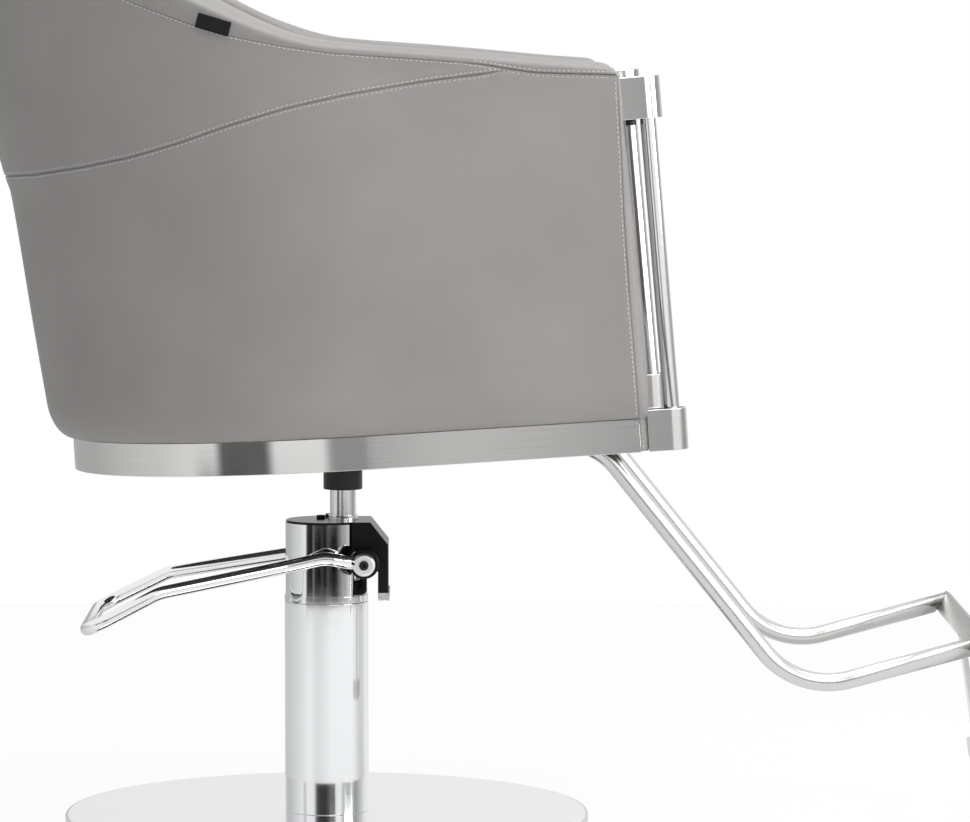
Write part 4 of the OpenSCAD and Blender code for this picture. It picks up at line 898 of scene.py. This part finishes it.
HEM, TIP_H, TIP_RISE = 0.0013, 0.0035, 0.0027
heights = np.concatenate([[HEM, 0.0016, 0.0024], np.linspace(0.004, BAND_TOP, 8),
                          np.linspace(BAND_TOP, 0.071, 12)[1:], np.linspace(0.071, 0.384, 70)[1:]])
for side, half in SIDES:
    rings = []
    ends = [(w, 0.0, 0.0) for w in heights] + [
        (ARM_H - TIP_H * (1 - math.sin(a)), 0.0026 * (1 - math.cos(a)), math.sin(a))
        for a in np.linspace(0.15, math.pi / 2, 8)]
    for w, tip, cap in ends:
        p = facing_profile(min(w, ARM_H), tip)
        aside = np.clip(p[:, 1] / ROLL_HALF - 1, -1, 1)
        rise = cap * TIP_RISE * (1 - np.abs(aside) ** 2.5) ** 0.4
        low = 0.0012 * (1 - min(1, (w - HEM) / 0.003))
        x = FRONT_X - (w + rise) * FRONT_LEAN - p[:, 0] - low
        rings.append(np.stack([x, half * (HALF_W + face_out(w) - p[:, 1]), w + rise], 1))
    facing = ring_solid("Arm_facing_" + side, np.array(rings), leather, "seat",
                        slot="grey_leather", replaced=["arm_facings"])
    line = []
    for w in np.linspace(0.004, BAND_TOP + 0.003, 80):
        p = facing_profile(w)[:28]
        back, inwards = along(THREAD_OFF, run_along(p), p)
        line.append((FRONT_X - w * FRONT_LEAN - back, half * (HALF_W + face_out(w) - inwards), w))
    stitches("Facing_stitches_" + side, line, unit(np.array([[0.6, half * 0.8, 0]] * len(line))))

# Seat cushion. A boxed cushion of foam, cut to the tub's plan, with a panel on top and one round
# its side; both are sewn together with the leather stitched down on both sides of the seam.
CUSHION_LOW, CUSHION_GAP, CUSHION_IN = 0.0356, 0.0037, 0.100
CORNER, CORNER_SHARE, CROWN = 0.016, 0.068, 0.008


def cushion_ring(inset, w):
    """Plan of the cushion, drawn in by inset, at height w, as a closed row of points."""
    t = np.concatenate([
        np.linspace(CORNER + inset, SIDE_L, 34)[:-1], np.linspace(SIDE_L, SIDE_L + ROUND_L, 150),
        np.linspace(SIDE_L + ROUND_L, WHOLE_L - CORNER - inset, 34)[1:]])
    d = -WALL - CUSHION_GAP - inset
    flank = CORNER_SHARE * (1 - np.cos(np.linspace(0.25, 1.57, 7)))
    across = np.concatenate([flank - 1, np.linspace(-0.93, 0.93, 66)[1:-1], 1 - flank[::-1]])
    y = abs(shell(0.0, w, d, 0.0)[1]) * across
    past = np.clip((np.abs(across) - 1 + CORNER_SHARE) / CORNER_SHARE, 0, 1)
    front = FRONT_X - w * FRONT_LEAN - inset - CORNER * (1 - np.sqrt(1 - past ** 2)) + CROWN * (
        1 - across ** 4)
    return np.concatenate([shell(t, w, d, 0.0), np.stack([front, y, w + 0 * y], 1)])


LOW_R, SIDE_H, TOP_R, SIDE_FULL = 0.012, 0.056, 0.010, 0.0008
turned, up_side = np.linspace(0, math.pi / 2, 9), np.linspace(0, 1, 12)
section = np.concatenate([
    np.stack([LOW_R - LOW_R * np.sin(turned), LOW_R - LOW_R * np.cos(turned)], 1),
    np.stack([-SIDE_FULL * np.sin(up_side * math.pi), LOW_R + (SIDE_H - LOW_R) * up_side], 1)[1:],
    np.stack([TOP_R - TOP_R * np.cos(turned[:7]), SIDE_H + TOP_R * np.sin(turned[:7])], 1)[1:],
])
seam_at = section[-1]
inwards = np.linspace(0, 1, 40)[1:] ** 1.5
section = np.concatenate([section, np.stack([
    seam_at[0] + (CUSHION_IN - seam_at[0]) * inwards,
    seam_at[1] + 0.0125 * (1 - (1 - inwards) ** 2.6)], 1)])
run = run_along(section)
seam_run = float(np.interp(seam_at[1], section[:30, 1], run[:30]))
at = np.unique(np.concatenate([
    np.linspace(0, seam_run - 0.015, 16), seam_run + both_ways,
    seam_run + 0.015 + (run[-1] - seam_run - 0.015) * np.linspace(0, 1, 14)]))


def on_section(at):
    """Inset and height of the cushion's section there, with the seam's relief, and its normal."""
    ahead = unit(along(at + 0.002, run, section) - along(at - 0.002, run, section))
    out = np.stack([-ahead[..., 1], ahead[..., 0]], -1)
    relief = np.asarray(0.8 * seam_dip(at - seam_run))[..., None]
    return along(at, run, section) + out * relief, out


rings = [cushion_ring(inset, CUSHION_LOW + h) for inset, h in on_section(at)[0]]
centre = rings[-1].mean(0)
for k in (0.85, 0.68, 0.5, 0.32, 0.14, 0.02):
    rings.append(rings[len(at) - 1] * (k, k, 1) + centre * (1 - k, 1 - k, 0) + (
        0, 0, 0.0035 * (1 - k * k)))
for k in (0.9, 0.6, 0.3, 0.08):
    rings.insert(0, cushion_ring(LOW_R, CUSHION_LOW) * (k, k, 1) + centre * (1 - k, 1 - k, 0))
cushion = ring_solid("Seat_cushion", np.array(rings), leather, "seat", slot="padding",
                     replaced=["seat_cushion"])


FOAM_GRID, FOAM_FRAMES = 0.006, 20


def puffed(piece, pressure, most):
    """Fills a piece out by a cloth simulation of a coarse copy under pressure from inside, and
    moves the piece's own points by what the copy's nearest points moved, by no more than most."""
    copy = piece.copy()
    copy.data = piece.data.copy()
    copy.name = piece.name + "_foam"
    scene.collection.objects.link(copy)
    remesh = copy.modifiers.new("Even", "REMESH")
    remesh.mode, remesh.voxel_size = "VOXEL", FOAM_GRID
    even = bpy.data.meshes.new_from_object(copy.evaluated_get(
        bpy.context.evaluated_depsgraph_get()))
    copy.modifiers.clear()
    copy.data = even
    start = np.array([v.co for v in even.vertices])
    cloth = copy.modifiers.new("Cloth", "CLOTH")
    cloth.settings.use_pressure = True
    cloth.settings.uniform_pressure_force = pressure
    cloth.settings.effector_weights.gravity = 0
    cloth.point_cache.frame_start, cloth.point_cache.frame_end = 1, FOAM_FRAMES
    for moment in range(1, FOAM_FRAMES + 1):
        scene.frame_set(moment)
    filled = copy.evaluated_get(bpy.context.evaluated_depsgraph_get()).to_mesh()
    moved = np.nan_to_num(np.array([v.co for v in filled.vertices]) - start)
    bpy.data.objects.remove(copy)
    scene.frame_set(1)
    size = np.linalg.norm(moved, axis=1, keepdims=True)
    moved = moved * np.minimum(1, most / np.maximum(size, 1e-9))
    tree = KDTree(len(start))
    for k, place in enumerate(start):
        tree.insert(place, k)
    tree.balance()
    for vertex in piece.data.vertices:
        near = tree.find_n(vertex.co, 6)
        weights = np.array([1 / (0.003 + far) for _, _, far in near])
        vertex.co += Vector((moved[[k for _, k, _ in near]] * weights[:, None]).sum(0)
                            / weights.sum())


puffed(cushion, pressure=4.0, most=0.0022)
for part, off in (("side", -THREAD_OFF), ("top", THREAD_OFF)):
    (inset, h), (away, away_up) = on_section(np.array(seam_run + off))
    line, beyond = (cushion_ring(inset + away * k, CUSHION_LOW + h + away_up * k) for k in tips)
    closed = [*range(len(line)), 0]
    stitches("Cushion_stitches_" + part, line[closed], unit(beyond - line)[closed])

# Apron. A narrow padded strip of the same leather, stapled to the seat board's front edge. It
# hides the board between the arms, under the cushion.
APRON_T, APRON_LOW, APRON_HIGH, APRON_HALF = 0.009, HEM, 0.0347, 0.2106
APRON_R, BACK_R = 0.0044, 0.002
loop = rounded_loop([(-APRON_T / 2, APRON_LOW, BACK_R), (APRON_T / 2, APRON_LOW, APRON_R),
                     (APRON_T / 2, APRON_HIGH, APRON_R), (-APRON_T / 2, APRON_HIGH, BACK_R)], 8)
middle = (APRON_LOW + APRON_HIGH) / 2
rings = []
for u in np.linspace(-1, 1, 61):
    u = math.copysign(1 - (1 - abs(u)) ** 1.5, u)
    shrink = 0.3 + 0.7 * math.sqrt(1 - np.clip((abs(u) - 0.975) / 0.025, 0, 1) ** 2)
    rings.append([(BAND_END + APRON_T / 2 + x * shrink + (0.0012 * math.sin(math.pi * (
        z - APRON_LOW) / (APRON_HIGH - APRON_LOW)) if x > 0 else 0), APRON_HALF * u,
        middle + (z - middle) * shrink) for x, z in loop])
apron = ring_solid("Front_apron", np.array(rings), leather, "seat", slot="grey_leather",
                   replaced=["front_apron"])

# Tag. A bare label of black fabric, sewn into the seam below the roll on the right side. It
# slopes down towards the front, and its lower edge waves a little.
tag_cloth = finish("Black_fabric", (0.010, 0.010, 0.011), 0, 0.85, Specular_IOR_Level=0.2)
vary(tag_cloth, 2600, 2, stretch=(1, 1, 0.3), color=(0.007, 0.018), rough=(0.75, 0.95), bump=0.6)
TAG_L, TAG_H, TAG_T = 0.035, 0.015, 0.0011
tag_s = SIDE_L + float(np.interp(math.radians(249), turn_angles, turn_run))
tag_w = float(top_edge(tag_s)) - 0.7 * TAG_H
TAG_SLOPE = math.radians(-20)
across, up = np.meshgrid(np.linspace(-0.5, 0.5, 29), np.linspace(-0.5, 0.5, 13), indexing="ij")
u, v = across * TAG_L, up * TAG_H
turned_u = u * math.cos(TAG_SLOPE) - v * math.sin(TAG_SLOPE)
turned_v = u * math.sin(TAG_SLOPE) + v * math.cos(TAG_SLOPE)
stretch = float(np.linalg.norm(shell(tag_s + 0.01, tag_w, 0.0) - shell(tag_s, tag_w, 0.0))) / 0.01
lift = 0.0017 + 0.0004 * np.cos(across * 9) * (0.5 - up) + 0.0003 * (0.5 - up)
faces_of_tag = [shell(tag_s + turned_u / stretch, tag_w + turned_v, lift + half * TAG_T / 2)
                for _, half in SIDES]
rings = np.concatenate([faces_of_tag[0], faces_of_tag[1][:, ::-1]], 1)
ring_solid("Side_tag", rings, tag_cloth, "seat", slot="black_fabric", replaced=["side_tag"])

# Arm fronts. Two brackets a side, each a strip of brushed steel bent to a U round a black block
# and bolted to the arm; a polished tube stands in their noses, held by a screw in the upper one.
satin = finish("Satin_steel", (0.66, 0.655, 0.645), 1, 0.2)
vary(satin, 60, 4, stretch=(1, 1, 40), rough=(0.15, 0.27), bump=0.10, depth=0.00004)
black_metal = finish("Black_metal", (0.015, 0.015, 0.016), 0, 0.35)
vary(black_metal, 900, rough=(0.3, 0.45), bump=0.15)
polished = finish("Polished_steel", 0.80, 1, 0.11)
vary(polished, 500, stretch=(1, 1, 0.02), rough=(0.08, 0.17), bump=0.04)
BRACKET_L, BRACKET_W, BRACKET_T, BRACKET_H = 0.041, 0.032, 0.003, 0.043
BRACKET_GAP, TOP_GAP, HIGH_OUT, TUBE_IN = 0.0003, 0.003, 0.007, 0.004
NOSE = BRACKET_W / 2
ARM_TUBE_R, ARM_TUBE_BORE, TUBE_SIDES = 0.00825, 0.0062, 64
way_shares = (0, 0.0003, 0.0012, 0.0024, 0.5, 0.9976, 0.9988, 0.9997, 1)
end_shares = np.array([0.897, 0.9576, 0.9964, 1, 1, 1, 0.9964, 0.9576, 0.897])
HIGH_Z = ARM_H - TOP_GAP - BRACKET_H


def nose_at(side_y, w):
    """Where a bracket's nose turns, when its outer side is at side_y and its foot at height w."""
    return np.array((FRONT_X - w * FRONT_LEAN + BRACKET_GAP + BRACKET_L - NOSE, side_y, w))


for side, half in SIDES:
    low, high = nose_at(half * (HALF_W - NOSE), 0), nose_at(half * (HALF_W + HIGH_OUT), HIGH_Z)
    for name, at, lean in (("Lower", low, 0), ("Upper", high, math.atan(FRONT_LEAN))):
        mid = NOSE - BRACKET_T / 2
        ends = NOSE - BRACKET_L + np.array([0, 0.0002, 0.0006, 0.006, 0.014, 0.0215])
        plan = [(x, -mid, 0, -1) for x in ends]
        plan += [(mid * math.sin(a), -mid * math.cos(a), math.sin(a), -math.cos(a))
                 for a in np.linspace(0, math.pi, 49)]
        plan += [(x, mid, 0, 1) for x in ends[::-1]]
        edge = rounded_loop([(-BRACKET_T / 2, 0, 0.0005), (-BRACKET_T / 2, BRACKET_H, 0.0005),
                             (BRACKET_T / 2, BRACKET_H, 0.0007), (BRACKET_T / 2, 0, 0.0007)], 4)
        points, flat = strip(plan, edge)
        bracket = solid_of(
            f"{name}_bracket_{side}", seated(leaned(points, lean) + at),
            ring_faces(len(plan), len(edge)), brushed, "seat", slot="brushed_steel",
            replaced=[f"{name.lower()}_bracket_{side}"])
        laid_flat(bracket, flat)
    low, high = low + (0.002, 0, TUBE_IN), high + (0, 0, BRACKET_H - TUBE_IN)
    line = np.array([low + (high - low) * share for share in way_shares])
    outside, _ = tube(seated(line), ARM_TUBE_R * end_shares, TUBE_SIDES)
    inside, _ = tube(seated(line), ARM_TUBE_BORE, TUBE_SIDES)
    inside = np.reshape(inside, (-1, TUBE_SIDES, 3))[::-1].reshape(-1, 3)
    points = np.concatenate([outside, inside])
    faces = ring_faces(2 * len(line), TUBE_SIDES, joined=True)
    solid_of(f"Arm_tube_{side}", points, faces, polished, "seat", slot="chrome",
             replaced=[f"arm_tube_{side}"])
dress(black_plastic, "bracket_blocks", edge=0.0004)
dress(zinc, "bracket_bolts")
dress(black_metal, "bracket_screws", edge=0.0004)

# Footrest. Two round tubes are clamped under the seat board and bent down and forward; a flat bar
# ties their ends, and a strap from its middle carries the tread.
REST_Y, REST_R, REST_SIDES, BOARD_T, REST_GAP = 0.200, 0.0095, 56, 0.015, 0.0003
REST_X, REST_TAIL, REST_DROP, REST_STEEP = 0.284, 0.170, 0.265, math.radians(51.4)
FOOT_L, FOOT_RISE, BAR_LEAN = 0.187, math.radians(15), math.radians(30)
REST_Z = BAND_H - BOARD_T - 2 * REST_GAP - REST_R
top = np.array((REST_X, 0, SEAT_Z + REST_Z * math.cos(TILT) + REST_X * math.sin(TILT)))
low = top + (REST_DROP / math.tan(REST_STEEP), 0, -REST_DROP)
end = low + (FOOT_L, 0, FOOT_L * math.tan(FOOT_RISE))
tail = top - REST_TAIL * np.array((math.cos(TILT), 0, math.sin(TILT)))
bar_at = end + (-0.019 / 4, 0, -0.023 / 3)
bar_face = np.array((math.cos(BAR_LEAN), 0, -math.sin(BAR_LEAN)))
way = unit(end - low)
for side, half in SIDES:
    aside = np.array((0, half * REST_Y, 0))
    route = bent([p + aside for p in (tail, top, low, end)], (0, 0.070, 0.086, 0), 22)
    points, faces = tube(route, REST_R, REST_SIDES, (0, 1, 0))
    # The tube's end is cut to lie flat against the bar
    for k in range(len(points) - REST_SIDES, len(points)):
        points[k] = points[k] + way * ((bar_at + aside - points[k]) @ bar_face / (way @ bar_face))
    solid_of(f"Footrest_tube_{side}", points, faces, satin, "seat", slot="brushed_steel",
             replaced=[f"footrest_tube_{side}"])
dress(zinc, "footrest_clamps", edge=0.0004)
dress(zinc, "clamp_bolts", edge=0.0003)
dress(satin, "footrest_bar", "footrest_strap", "footrest_tread", edge=0.0007)
